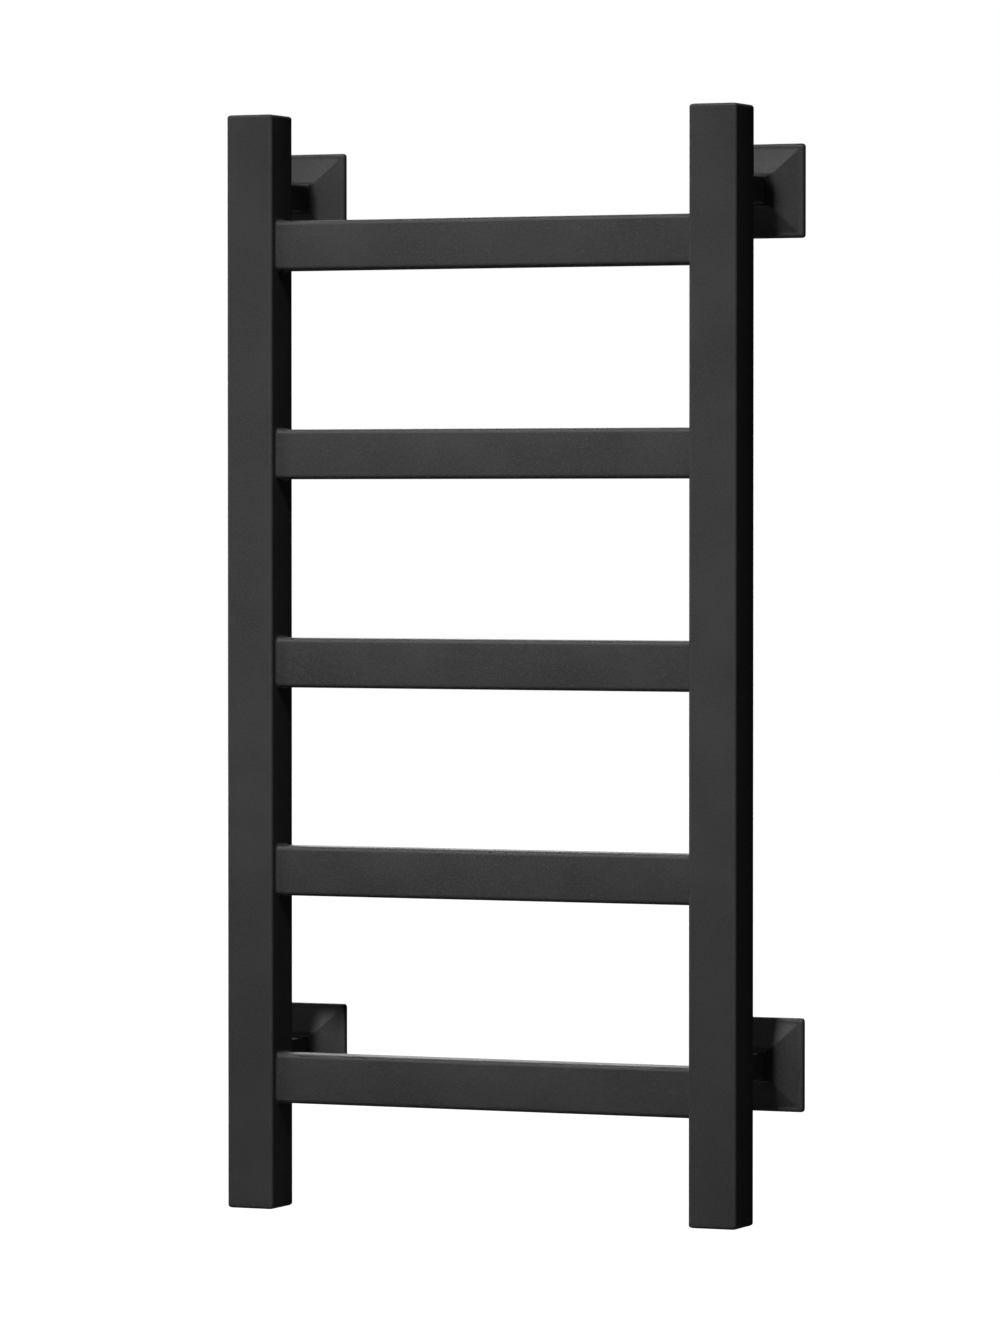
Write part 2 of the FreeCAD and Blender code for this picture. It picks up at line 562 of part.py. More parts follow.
def terminal_screw_places():
    """The centres of the terminal screws on the block's front: two rows, one screw per pole."""
    rows = (BLOCK_BOTTOM_Z + TERMINAL_SCREW_INSET, BLOCK_TOP_Z - TERMINAL_SCREW_INSET)
    first = UPRIGHT_X - POLE_PITCH * (BLOCK_POLES - 1) / 2
    return [(first + POLE_PITCH * pole, row) for pole in range(BLOCK_POLES) for row in rows]


def terminal_block():
    """A ribbed block with a well for every terminal screw, standing against its carrier."""
    back, front = CARRIER_FRONT_Y, CARRIER_FRONT_Y - BLOCK_DEPTH
    shape = box(centred(UPRIGHT_X, BLOCK_WIDTH), (front, back), (BLOCK_BOTTOM_Z, BLOCK_TOP_Z))
    for pole in range(1, BLOCK_POLES):
        cut_x = UPRIGHT_X - BLOCK_WIDTH / 2 + pole * POLE_PITCH
        shape = shape.cut(box(centred(cut_x, BLOCK_RIB_CUT), (front, front + BLOCK_RIB_CUT),
                              (BLOCK_BOTTOM_Z, BLOCK_TOP_Z)))
    for x, z in terminal_screw_places():
        shape = shape.cut(rod(V(x, front, z), V(x, front + TERMINAL_SCREW_LENGTH, z), TERMINAL_SCREW))
    return shape


def terminal_screws():
    """The block's cheese-head screws, each with a slot, sunk in their wells."""
    front = CARRIER_FRONT_Y - BLOCK_DEPTH
    screws = []
    for x, z in terminal_screw_places():
        head = rod(V(x, front + TERMINAL_SCREW_SUNK, z), V(x, front + TERMINAL_SCREW_LENGTH, z), TERMINAL_SCREW)
        slot_floor = front + TERMINAL_SCREW_SUNK + TERMINAL_SLOT_DEPTH
        slot = box(centred(x, TERMINAL_SCREW), (front + TERMINAL_SCREW_SUNK, slot_floor),
                   centred(z, TERMINAL_SLOT_WIDTH))
        screws.append(head.cut(slot))
    return Part.makeCompound(screws)


def earth_screw_centre():
    """Where the earth screw passes through the carrier, below the terminal block."""
    x = UPRIGHT_X + COLLAR_HOLLOW / 2 - EARTH_TAG_SIDE_GAP - EARTH_TAG_RADIUS
    return V(x, CARRIER_FRONT_Y, (TUBE_BOTTOM_Z + BLOCK_BOTTOM_Z) / 2)


def terminal_carrier():
    """The upright steel strip on the right bottom cap that carries the block and the cut-out."""
    shape = box(centred(UPRIGHT_X, CARRIER_WIDTH), (CARRIER_FRONT_Y, CARRIER_FRONT_Y + CARRIER_THICKNESS),
                (TUBE_BOTTOM_Z, BLOCK_TOP_Z + CARRIER_ABOVE_BLOCK))
    hole = earth_screw_centre()
    return shape.cut(rod(hole, hole.add(V(0, CARRIER_THICKNESS, 0)), EARTH_SCREW))


def thermal_cutout():
    """The flat temperature limiter on the carrier, with two stiff leads down to the block."""
    x = UPRIGHT_X - BLOCK_WIDTH / 2 + CUTOUT_WIDTH / 2 + CUTOUT_INSET
    low = BLOCK_TOP_Z + CUTOUT_LEAD_LENGTH
    y = CARRIER_FRONT_Y - CUTOUT_DEPTH / 2
    body = rounded_bar("z", low, low + CUTOUT_HEIGHT, (x, y), CUTOUT_WIDTH, CUTOUT_DEPTH,
                       CUTOUT_CORNER)
    leads = [rod(V(lead_x, y, BLOCK_TOP_Z), V(lead_x, y, low), CUTOUT_LEAD)
             for lead_x in centred(x, CUTOUT_WIDTH / 2)]
    return body.multiFuse(leads)


def earth_screw():
    """A pan-head screw through the earth tag and the carrier, with a slot in its head."""
    centre = earth_screw_centre()
    tag_front = centre.add(V(0, -EARTH_TAG_THICKNESS, 0))
    head_front = tag_front.add(V(0, -EARTH_SCREW_HEAD_HEIGHT, 0))
    shape = rod(head_front, tag_front, EARTH_SCREW_HEAD).fuse(
        rod(tag_front, centre.add(V(0, CARRIER_THICKNESS, 0)), EARTH_SCREW))
    slot = box(centred(centre.x, EARTH_SCREW_HEAD), (head_front.y, head_front.y + EARTH_SLOT_DEPTH),
               centred(centre.z, EARTH_SLOT_WIDTH))
    return shape.cut(slot).removeSplitter()


def earth_barrel_ends():
    """The two ends of the earth tag's barrel; the lead enters at the first."""
    centre = earth_screw_centre()
    y = centre.y - EARTH_BARREL / 2
    inner = centre.x - EARTH_SCREW_HEAD / 2 - EARTH_BARREL_GAP
    return V(inner - EARTH_BARREL_LENGTH, y, centre.z), V(inner, y, centre.z)


def earth_tag():
    """A ring tag under the earth screw's head, with a crimped barrel to one side."""
    centre = earth_screw_centre()
    start, end = earth_barrel_ends()
    front = centre.add(V(0, -EARTH_TAG_THICKNESS, 0))
    ring = rod(front, centre, 2 * EARTH_TAG_RADIUS)
    strap = box((start.x, centre.x), (front.y, centre.y), centred(centre.z, EARTH_BARREL))
    barrel = rod(start, end, EARTH_BARREL)
    shape = fuse_all([ring, strap, barrel])
    head = rod(front.add(V(0, -EARTH_SCREW_HEAD_HEIGHT, 0)), front, EARTH_SCREW_HEAD + EARTH_BARREL_GAP)
    return shape.cut(rod(front, centre, EARTH_SCREW)).cut(head)


def earth_lead_route():
    """From the block's lower face down and round into the tag's barrel."""
    start = earth_barrel_ends()[0]
    x = start.x - EARTH_BEND - EARTH_LEAD_STUB
    return [V(x, start.y, BLOCK_BOTTOM_Z), V(x, start.y, start.z), start]


# ---- write every node ----

os.makedirs("parts", exist_ok=True)

RUNG_NAMES = ["rung_1_top", "rung_2", "rung_3", "rung_4", "rung_5_bottom"]
for rung_name, height in zip(RUNG_NAMES, RUNG_Z):
    save(rung(height), rung_name)

lock_screws = []
post_welds = []
for side_name in SIDE_X:
    save(upright(side_name), side_name + "_upright")
    save(rung_welds(side_name), side_name + "_rung_welds")
    save(end_cap(side_name, "top"), side_name + "_top_cap")
    save(end_cap(side_name, "bottom"), side_name + "_bottom_cap")
    for level_name in BRACKET_Z:
        place = "_" + level_name + "_" + side_name
        save(post(side_name, level_name), "post" + place)
        save(foot(side_name, level_name), "wall_foot" + place)
        save(cover(side_name, level_name), "cover" + place)
        save(grip_ring(side_name, level_name), "grip_ring" + place)
        lock_screws.append(lock_screw(side_name, level_name))
        post_welds.append(post_weld(side_name, level_name))

save(Part.makeCompound(lock_screws), "lock_screws")
save(Part.makeCompound(post_welds), "post_welds")
save(Part.makeCompound([cap_screw(side_name) for side_name in SIDE_X]), "bottom_cap_screws")
save(inlet_grommet("right", "lower"), "inlet_grommet")
save(upright_grommet(), "upright_grommet")
save(swept_cable("heating cable", heating_cable_route(), CABLE_BEND, HEATING_CABLE), "heating_cable")
save(cable_end_seal(), "cable_end_seal")
save(terminal_carrier(), "terminal_carrier")
save(terminal_block(), "terminal_block")
save(terminal_screws(), "terminal_screws")
save(thermal_cutout(), "thermal_cutout")
save(earth_screw(), "earth_screw")
save(earth_tag(), "earth_tag")
save(swept_cable("earth lead", earth_lead_route(), EARTH_BEND, EARTH_WIRE), "earth_lead")
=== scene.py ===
"""The looks of a wall-hung ladder towel warmer: its visible pieces, finishes and studio stage."""

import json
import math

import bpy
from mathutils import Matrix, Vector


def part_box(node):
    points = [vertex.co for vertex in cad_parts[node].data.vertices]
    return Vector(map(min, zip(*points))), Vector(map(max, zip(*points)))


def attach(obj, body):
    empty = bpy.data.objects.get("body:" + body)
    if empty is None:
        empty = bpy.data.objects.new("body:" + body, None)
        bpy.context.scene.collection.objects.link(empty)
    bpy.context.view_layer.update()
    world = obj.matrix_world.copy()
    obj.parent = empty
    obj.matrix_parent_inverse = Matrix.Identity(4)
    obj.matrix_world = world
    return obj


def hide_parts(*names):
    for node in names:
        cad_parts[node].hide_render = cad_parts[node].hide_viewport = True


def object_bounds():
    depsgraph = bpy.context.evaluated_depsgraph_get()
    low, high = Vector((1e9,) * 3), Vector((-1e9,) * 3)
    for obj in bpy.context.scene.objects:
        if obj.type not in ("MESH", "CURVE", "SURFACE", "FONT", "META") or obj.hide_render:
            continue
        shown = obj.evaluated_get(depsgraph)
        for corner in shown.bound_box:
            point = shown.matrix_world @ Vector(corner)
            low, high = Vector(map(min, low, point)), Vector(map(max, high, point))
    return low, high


bl_info = {
    "name": "Ladder Towel Warmer",
    "version": (1, 0, 0),
    "blender": (4, 5, 0),
    "location": "3D View > Sidebar > Towel Warmer",
    "description": "Models and finishes the visible pieces of a wall-hung ladder towel warmer",
    "category": "Object",
}

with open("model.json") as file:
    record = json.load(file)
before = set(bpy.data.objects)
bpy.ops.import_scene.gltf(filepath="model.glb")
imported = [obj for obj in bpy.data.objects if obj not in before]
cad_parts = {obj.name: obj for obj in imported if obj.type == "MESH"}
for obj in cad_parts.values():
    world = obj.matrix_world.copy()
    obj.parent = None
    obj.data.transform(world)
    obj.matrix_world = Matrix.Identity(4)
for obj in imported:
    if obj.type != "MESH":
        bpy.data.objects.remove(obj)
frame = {"nodes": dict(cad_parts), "record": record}
CAD_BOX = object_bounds()

SIDES = ("left", "right")
LEVELS = ("upper", "lower")
PLACES = [(level, side) for level in LEVELS for side in SIDES]
RUNGS = ["rung_1_top", "rung_2", "rung_3", "rung_4", "rung_5_bottom"]
MM = 0.001
WELD_SINK = 0.3 * MM            # how far a weld's hidden side stands inside the bar that it goes round
WELD_TIP = 0.02 * MM            # how far a weld's tip stands out from the bar
SMOOTH_BELOW = math.radians(35)
MERGE_WITHIN = 0.002 * MM       # points nearer than this become one
LEVEL_WITHIN = 0.01 * MM        # a point nearer than this to a plane lies in it
LENGTH_WITHIN = 0.001 * MM      # edges whose lengths differ by less are equally long
LENGTH_DIGITS = 6               # decimals that tell edge lengths apart
ROUND_SHARE = 0.499             # corner radius that rounds a square outline into a circle, as a share of it
HOLE_STEPS = 12                 # facets round a quarter of a drilled hole
HOLE_REACH = 3 * MM             # how far a hole's cutter stands on each side of the wall's face
CROWN_SHARES = (0.75, 0.5, 0.25, 0.02)  # where the rings of a cap's crown lie, from its edge to its middle
LIP_SHARE = 0.3                 # where the lip's middle point lies, as a share of its radius
COVER_CORNER_STEPS = 5          # facets round one corner of a cover

CORNER_MARK = "corner"          # the attribute that marks rounded edges, where the coat is thin
MIX_COLOURS = (6, 7)            # a mix node's two colour inputs
MIX_RESULT = 2                  # and its colour output
GRAIN_WEIGHT, PEEL_WEIGHT = 0.45, 0.55
PATCH_RANGE = (0.32, 0.68)      # noise values between which the coat goes from its main to its greyer tone
GLINT_SPECK_RANGE = (0.50, 0.72)      # and from no painted glint speck to a full one
SOFT_RANGE = (0.35, 0.65)       # and from one mottled colour to the other
ROUGHNESS_DOWN, ROUGHNESS_UP = 0.03, 0.05   # how far the coat's roughness strays
MOTTLE_STRENGTH, MOTTLE_DEPTH = 0.3, 0.05 * MM
FLOOR_PATCH = 0.97              # brightness of the floor's darker patches

# slot: colour, second colour or its share of the first, pattern scale, least and most roughness, metallic
FITTING_LOOKS = {
    "grip_rubber": ("rubber", 0.8, 400.0, (0.72, 0.85), 0.0),
    "grommet_rubber": ("rubber", 0.8, 350.0, (0.62, 0.78), 0.0),
    "zinc_steel": ("zinc", "zinc_dark", 160.0, (0.28, 0.46), 1.0),
    "screw_steel": ("black_steel", 0.6, 300.0, (0.34, 0.50), 0.6),
    "heating_cable_silicone": ("silicone", 0.8, 180.0, (0.50, 0.62), 0.0),
    "terminal_nylon": ("nylon", 0.92, 220.0, (0.42, 0.55), 0.0),
    "terminal_brass": ("brass", 0.8, 500.0, (0.24, 0.40), 1.0),
    "cutout_plastic": ("cutout", 0.8, 300.0, (0.45, 0.58), 0.0),
    "tag_tinned_brass": ("tin", 0.8, 500.0, (0.30, 0.44), 1.0),
    "earth_lead_sleeve": ("earth", 0.8, 200.0, (0.40, 0.52), 0.0),
}

SENSOR_WIDTH = 36.0             # millimetres
# each light's offset from the rack's middle, and its width
LIGHT_PLACES = {
    "key_light": ((0.20, -3.28, 3.77), 0.6),
    "side_light": ((-1.5, -1.0, 0.4), 0.6),
    "back_light": ((-1.5, 2.2, 1.2), 1.6),
}


def size_prop(name, text, default, digits=2):
    """A length that a user may change."""
    return bpy.props.FloatProperty(name=name, description=text, default=default, min=0.0, precision=digits,
                                   subtype="DISTANCE", unit="LENGTH")


def colour_prop(name, text, default):
    """A colour that a user may change."""
    return bpy.props.FloatVectorProperty(name=name, description=text, default=default, size=3,
                                         min=0.0, max=1.0, subtype="COLOR")


def number_prop(name, text, default, low=0.0, high=1.0):
    """A plain number that a user may change."""
    return bpy.props.FloatProperty(name=name, description=text, default=default, min=low, max=high)


class TubeSizes(bpy.types.PropertyGroup):
    """Sizes of the tubes, caps and welds that the frame's boxes don't give."""
    wall: size_prop("Wall", "Wall of every tube", 1.5 * MM)
    upright_corner: size_prop("Upright corner", "Outer corner radius of the uprights", 2.0 * MM)
    rung_corner: size_prop("Rung corner", "Outer corner radius of the rungs", 3.0 * MM)
    post_corner: size_prop("Post corner", "Outer corner radius of the posts", 1.5 * MM)
    corner_steps: bpy.props.IntProperty(name="Corner steps", description="Facets round one tube corner",
                                        default=8, min=2, max=16)
    cap_plate: size_prop("Cap plate", "Thickness of the end caps' plates", 3.0 * MM)
    cap_round: size_prop("Cap edge", "Radius round the end caps' outer edge", 1.8 * MM)
    cap_crown: size_prop("Cap crown", "How far the middle of a cap stands above its edge", 0.12 * MM)
    collar_wall: size_prop("Collar wall", "Wall of the end caps' collars", 2.0 * MM)
    collar_gap: size_prop("Collar gap", "Clearance between a collar and its tube", 0.2 * MM)
    slot_width: size_prop("Cable slot", "Width of the openings for the heating cable", 10 * MM)
    supply_hole: size_prop("Supply hole", "Supply hole in the right upright", 10 * MM)


class WeldSizes(bpy.types.PropertyGroup):
    """The fillet welds."""
    steps: bpy.props.IntProperty(name="Steps", description="Facets across a weld's hollow face", default=5,
                                 min=2, max=10)
    ripple_pitch: size_prop("Ripple pitch", "From one ripple of a weld to the next", 1.3 * MM)
    ripple_height: size_prop("Ripple height", "Full height of the ripples under the coat", 0.2 * MM, 3)
    toe: size_prop("Toe", "Even strip along a weld's two edges", 0.05 * MM, 3)
    point_spacing: size_prop("Point spacing", "Distance between the points along a weld", 0.4 * MM)


class CoverSizes(bpy.types.PropertyGroup):
    """The square flared covers."""
    corner: size_prop("Corner", "Corner radius of the square rim", 2.0 * MM)
    rim: size_prop("Rim", "Thickness of the rim, with its rounded edge", 4.0 * MM)
    edge_round: size_prop("Rim edge", "Radius of the rim's front edge", 2.0 * MM)
    slope: bpy.props.FloatProperty(name="Slope", description="Slope of a facet's flat middle",
                                   default=math.radians(24), subtype="ANGLE", unit="ROTATION")
    rim_bend: size_prop("Rim bend", "Hollow bend from the rim into the facet", 5.0 * MM)
    root_bend: size_prop("Root bend", "Hollow bend from the facet up to the mouth", 5.0 * MM)
    mouth_wall: size_prop("Mouth wall", "Wall of the cover where the post comes out", 0.8 * MM)
    clearance: size_prop("Clearance", "Gap between the cover and the post", 0.2 * MM)
    lip: size_prop("Lip", "Radius round the mouth", 0.25 * MM)
    edge_steps: bpy.props.IntProperty(name="Edge steps", description="Facets round the rim's edge", default=8,
                                      min=2, max=20)
    bend_steps: bpy.props.IntProperty(name="Bend steps", description="Facets along each hollow bend",
                                      default=10, min=2, max=40)
    pocket_gap: size_prop("Pocket gap", "Gap round and in front of the foot plate", 0.5 * MM)
    core_width: size_prop("Core width", "Width of the deeper hollow behind the flare", 27.0 * MM)
    core_depth: size_prop("Core depth", "Depth of the deeper hollow behind the flare", 6.0 * MM)
    pocket_depth: size_prop("Pocket depth", "Depth of the hollow over the foot plate", 3.0 * MM)


class Finishes(bpy.types.PropertyGroup):
    """Colours and surface values."""
    coat: colour_prop("Coat", "Powder coat, its main black", (0.032, 0.032, 0.032))
    coat_light: colour_prop("Coat, light", "Powder coat where it is greyer", (0.043, 0.043, 0.043))
    coat_thin: colour_prop("Coat, thin", "Powder coat on rounded edges", (0.056, 0.056, 0.056))
    # the specks are painted glints: lighter grains coloured as though they catch the light
    coat_glint_speck: colour_prop("Coat, specks", "Grains that catch the light", (0.062, 0.062, 0.062))
    coat_roughness: number_prop("Coat roughness", "Roughness of the powder coat", 0.56)
    coat_grain: number_prop("Coat grain", "Strength of the powder coat's grain", 0.6)
    coat_specular: number_prop("Coat specular", "Strength of the powder coat's reflections", 0.28)
    rubber: colour_prop("Rubber", "Grommets and grip rings", (0.018, 0.018, 0.019))
    zinc: colour_prop("Zinc", "Zinc-plated steel", (0.58, 0.59, 0.60))
    zinc_dark: colour_prop("Zinc, dark", "Zinc plating where it has dulled", (0.33, 0.35, 0.37))
    black_steel: colour_prop("Black steel", "Blackened screws", (0.045, 0.045, 0.05))
    silicone: colour_prop("Silicone", "Sheath of the heating cable", (0.33, 0.055, 0.035))
    nylon: colour_prop("Nylon", "Terminal block", (0.70, 0.69, 0.64))
    cutout: colour_prop("Cut-out", "Case of the thermal cut-out", (0.09, 0.09, 0.10))
    brass: colour_prop("Brass", "Terminal and earth screws", (0.68, 0.50, 0.22))
    tin: colour_prop("Tin", "Tinned earth tag", (0.66, 0.66, 0.64))
    earth: colour_prop("Earth sleeve", "Sleeve of the earth lead", (0.10, 0.30, 0.05))


class StageSizes(bpy.types.PropertyGroup):
    """Camera, lights and floor."""
    azimuth: bpy.props.FloatProperty(name="Azimuth", description="Camera's angle to the right of the front",
                                     default=math.radians(23.46), subtype="ANGLE", unit="ROTATION")
    elevation: bpy.props.FloatProperty(name="Elevation", description="Camera's angle above the level",
                                       default=math.radians(1.31), subtype="ANGLE", unit="ROTATION")
    distance: size_prop("Distance", "From the camera to the rack's middle", 4.082)
    lens: number_prop("Lens", "Focal length in millimetres", 184.9, 20.0, 400.0)
    aim_right: bpy.props.FloatProperty(name="Aim right", description="Aim to the right of the rack's middle",
                                       default=0.0076, subtype="DISTANCE", unit="LENGTH")
    aim_up: bpy.props.FloatProperty(name="Aim up", description="Aim above the rack's middle",
                                    default=-0.0013, subtype="DISTANCE", unit="LENGTH")
    floor_drop: size_prop("Floor drop", "From the rack's lower end down to the floor", 1.0)
    floor_width: size_prop("Floor width", "Width of the floor", 60.0)
    floor_colour: colour_prop("Floor", "Pale floor", (0.86, 0.86, 0.86))
    sky: colour_prop("Surround", "Pale surround", (1.0, 1.0, 1.0))
    beam: bpy.props.FloatProperty(name="Beam", description="Angle that the weak lights spread over",
                                  default=math.radians(70), subtype="ANGLE", unit="ROTATION")
    key_beam: bpy.props.FloatProperty(name="Key beam", description="Angle that the key light spreads over",
                                      default=math.radians(14), subtype="ANGLE", unit="ROTATION")
    key_aim: bpy.props.FloatProperty(name="Key aim", description="Aim of the key above the rack's middle",
                                     default=0.06, subtype="DISTANCE", unit="LENGTH")
    fill: number_prop("Fill", "Light from the surround", 0.015, 0.0, 5.0)
    key_power: number_prop("Key", "Power of the key light", 2.4, 0.0, 5000.0)
    side_power: number_prop("Side", "Power of the light on the left", 0.9, 0.0, 5000.0)
    back_power: number_prop("Back", "Power of the light behind", 9.0, 0.0, 5000.0)
    floor_glow: number_prop("Floor glow", "How much the floor is whitened for the camera", 1.25, 0.0, 5.0)


SETTINGS = {"rack_tubes": TubeSizes, "rack_welds": WeldSizes, "rack_covers": CoverSizes,
            "rack_finishes": Finishes, "rack_stage": StageSizes}


# ---- modelling helpers ----

def deselect():
    """Object mode, with nothing selected."""
    if bpy.context.object and bpy.context.object.mode != "OBJECT":
        bpy.ops.object.mode_set(mode="OBJECT")
    bpy.ops.object.select_all(action="DESELECT")


def choose(*objects):
    """Selects only these objects; the first is the active one."""
    deselect()
    for piece in objects:
        piece.select_set(True)
    bpy.context.view_layer.objects.active = objects[0]


def on_axis(axis, along, across, up):
    """A point at `along` on the named axis; across and up fill the other two axes in X, Y, Z order."""
    return {"x": (along, across, up), "y": (across, along, up), "z": (across, up, along)}[axis]


def start_outline(name, axis, middle, section, radius, steps):
    """A new piece that is one round-cornered face, square to the axis, left in edit mode and selected."""
    along, width, height = section
    turn = {"x": (0, math.pi / 2, 0), "y": (math.pi / 2, 0, 0), "z": (0, 0, 0)}[axis]
    deselect()
    bpy.ops.mesh.primitive_plane_add(size=1, location=on_axis(axis, along, *middle), rotation=turn)
    piece = bpy.context.object
    piece.name = name
    piece.data.name = name
    piece.scale = (height, width, 1) if axis == "x" else (width, height, 1)
    bpy.ops.object.transform_apply(location=True, rotation=True, scale=True)
    bpy.ops.object.mode_set(mode="EDIT")
    bpy.ops.mesh.select_all(action="SELECT")
    bpy.ops.mesh.bevel(offset=radius, segments=steps, affect="VERTICES")
    bpy.ops.mesh.select_all(action="SELECT")
    return piece


def build_through(name, axis, middle, sections, radius, kind, steps, spacing=None):
    """A piece that runs through round-cornered sections (along, width, height), one after another.

    An "open" piece is a bare wall, a "solid" one has a face at each end, a "ring" one ends where it began.
    """
    piece = start_outline(name, axis, middle, sections[0], radius, steps)
    if spacing:
        divide_long_edges(piece, spacing)
    if kind != "solid":
        bpy.ops.mesh.delete(type="ONLY_FACE")
        bpy.ops.mesh.select_all(action="SELECT")
    extrude = bpy.ops.mesh.extrude_region_move if kind == "solid" else bpy.ops.mesh.extrude_edges_move
    for old, new in zip(sections, sections[1:]):
        extrude(TRANSFORM_OT_translate={"value": on_axis(axis, new[0] - old[0], 0, 0)})
        bpy.ops.transform.resize(value=on_axis(axis, 1, new[1] / old[1], new[2] / old[2]),
                                 center_override=on_axis(axis, new[0], *middle))
    bpy.ops.mesh.select_all(action="SELECT")
    if kind == "ring":
        bpy.ops.mesh.remove_doubles(threshold=MERGE_WITHIN)
    bpy.ops.mesh.normals_make_consistent(inside=False)
    bpy.ops.object.mode_set(mode="OBJECT")
    return piece


def divide_long_edges(piece, spacing):
    """Divides the straight edges of the piece's outline into short ones, in edit mode."""
    bpy.ops.object.mode_set(mode="OBJECT")
    mesh = piece.data
    ends = [[mesh.vertices[number].co for number in edge.vertices] for edge in mesh.edges]
    lengths = [(first - second).length for first, second in ends]
    for length in sorted({round(value, LENGTH_DIGITS) for value in lengths if value > 2 * spacing}):
        pick_edges(piece, lambda a, b: abs((a - b).length - length) < LENGTH_WITHIN)
        bpy.ops.mesh.subdivide(number_cuts=int(length / spacing) - 1)
        bpy.ops.object.mode_set(mode="OBJECT")
    bpy.ops.object.mode_set(mode="EDIT")
    bpy.ops.mesh.select_all(action="SELECT")


def pick_edges(piece, wanted):
    """Edit mode, with only the edges selected whose two ends satisfy the test."""
    bpy.ops.object.mode_set(mode="EDIT")
    bpy.ops.mesh.select_mode(type="EDGE")
    bpy.ops.mesh.select_all(action="DESELECT")
    bpy.ops.object.mode_set(mode="OBJECT")
    points = piece.data.vertices
    for edge in piece.data.edges:
        edge.select = wanted(points[edge.vertices[0]].co, points[edge.vertices[1]].co)
    bpy.ops.object.mode_set(mode="EDIT")


def apply_modifier(piece, kind, **values):
    """Adds a modifier with these values and applies it."""
    choose(piece)
    modifier = piece.modifiers.new(kind.lower(), kind)
    for key, value in values.items():
        setattr(modifier, key, value)
    bpy.ops.object.modifier_apply(modifier=modifier.name)


def smooth(piece):
    """Smooth shading, with the sharp edges kept."""
    choose(piece)
    bpy.ops.object.shade_smooth_by_angle(angle=SMOOTH_BELOW)


def copy_piece(source, name, shift, half_turn=False):
    """A copy with its own mesh, moved by the shift, and first turned half round the Z axis if asked."""
    choose(source)
    bpy.ops.object.duplicate(linked=False)
    piece = bpy.context.object
    piece.name = name
    piece.data.name = name
    if half_turn:
        piece.rotation_euler[2] = math.pi
    piece.location = shift
    bpy.ops.object.transform_apply(location=True, rotation=True, scale=True)
    return piece


def mark(piece, share):
    """Stores share(point), from 0 to 1, at every vertex: 1 where the coat is thinnest."""
    layer = piece.data.attributes.new(CORNER_MARK, "FLOAT", "POINT")
    for point, value in zip(piece.data.vertices, layer.data):
        value.value = share(point.co)


def mark_tube_corners(piece, axis, middle, width, height, radius):
    """Marks the rounded long edges of a tube or plate."""
    def share(point):
        across, up = {"x": (point.y, point.z), "y": (point.x, point.z), "z": (point.x, point.y)}[axis]
        past_across = abs(across - middle[0]) - (width / 2 - radius)
        past_up = abs(up - middle[1]) - (height / 2 - radius)
        if past_across <= 0 or past_up <= 0:
            return 0.0
        return min(1.0, 2 * min(past_across, past_up) / radius)
    mark(piece, share)


def middle_of(node):
    """The middle and the size of a CAD node's box."""
    low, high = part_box(node)
    low, high = Vector(low), Vector(high)
    return (low + high) / 2, high - low


def finish_piece(piece, node, body, material):
    """Puts a finished piece in place of its CAD node."""
    piece.data.materials.clear()
    piece.data.materials.append(material)
    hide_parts(node)
    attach(piece, body)


# ---- shader groups ----

def new_group(name, inputs, outputs):
    """An empty shader node group with these sockets, and its two end nodes."""
    group = bpy.data.node_groups.new(name, "ShaderNodeTree")
    for label, kind, default in inputs:
        socket = group.interface.new_socket(name=label, in_out="INPUT", socket_type="NodeSocket" + kind)
        if default is not None:
            socket.default_value = default
    for label, kind in outputs:
        group.interface.new_socket(name=label, in_out="OUTPUT", socket_type="NodeSocket" + kind)
    return group, group.nodes.new("NodeGroupInput"), group.nodes.new("NodeGroupOutput")


def add_node(tree, kind, **values):
    """A shader node with its properties set."""
    node = tree.nodes.new("ShaderNode" + kind)
    for key, value in values.items():
        setattr(node, key, value)
    return node


def feed(tree, socket, operand):
    """Gives a socket a value, or a link from another socket."""
    if isinstance(operand, bpy.types.NodeSocket):
        tree.links.new(operand, socket)
    else:
        socket.default_value = operand


def math_node(tree, operation, first, second):
    """A maths node; each operand is a number or a socket."""
    node = add_node(tree, "Math", operation=operation)
    for socket, operand in zip(node.inputs, (first, second)):
        feed(tree, socket, operand)
    return node.outputs[0]


def noise_node(tree, place, scale, detail, roughness=0.5):
    """A noise texture's value at a place; the scale is a number or a socket."""
    node = add_node(tree, "TexNoise")
    tree.links.new(place, node.inputs["Vector"])
    feed(tree, node.inputs["Scale"], scale)
    node.inputs["Detail"].default_value = detail
    node.inputs["Roughness"].default_value = roughness
    return node.outputs[0]


def spread(tree, value, low, high, to_low=0.0, to_high=1.0):
    """Maps low..high onto another range, held at its ends."""
    node = add_node(tree, "MapRange", clamp=True)
    tree.links.new(value, node.inputs["Value"])
    for label, number in (("From Min", low), ("From Max", high), ("To Min", to_low), ("To Max", to_high)):
        node.inputs[label].default_value = number
    return node.outputs[0]


def mix_colours(tree, share, first, second):
    """A colour between two; each is a colour or a socket."""
    node = add_node(tree, "Mix", data_type="RGBA")
    tree.links.new(share, node.inputs["Factor"])
    for number, operand in zip(MIX_COLOURS, (first, second)):
        feed(tree, node.inputs[number], (*operand, 1.0) if isinstance(operand, tuple) else operand)
    return node.outputs[MIX_RESULT]


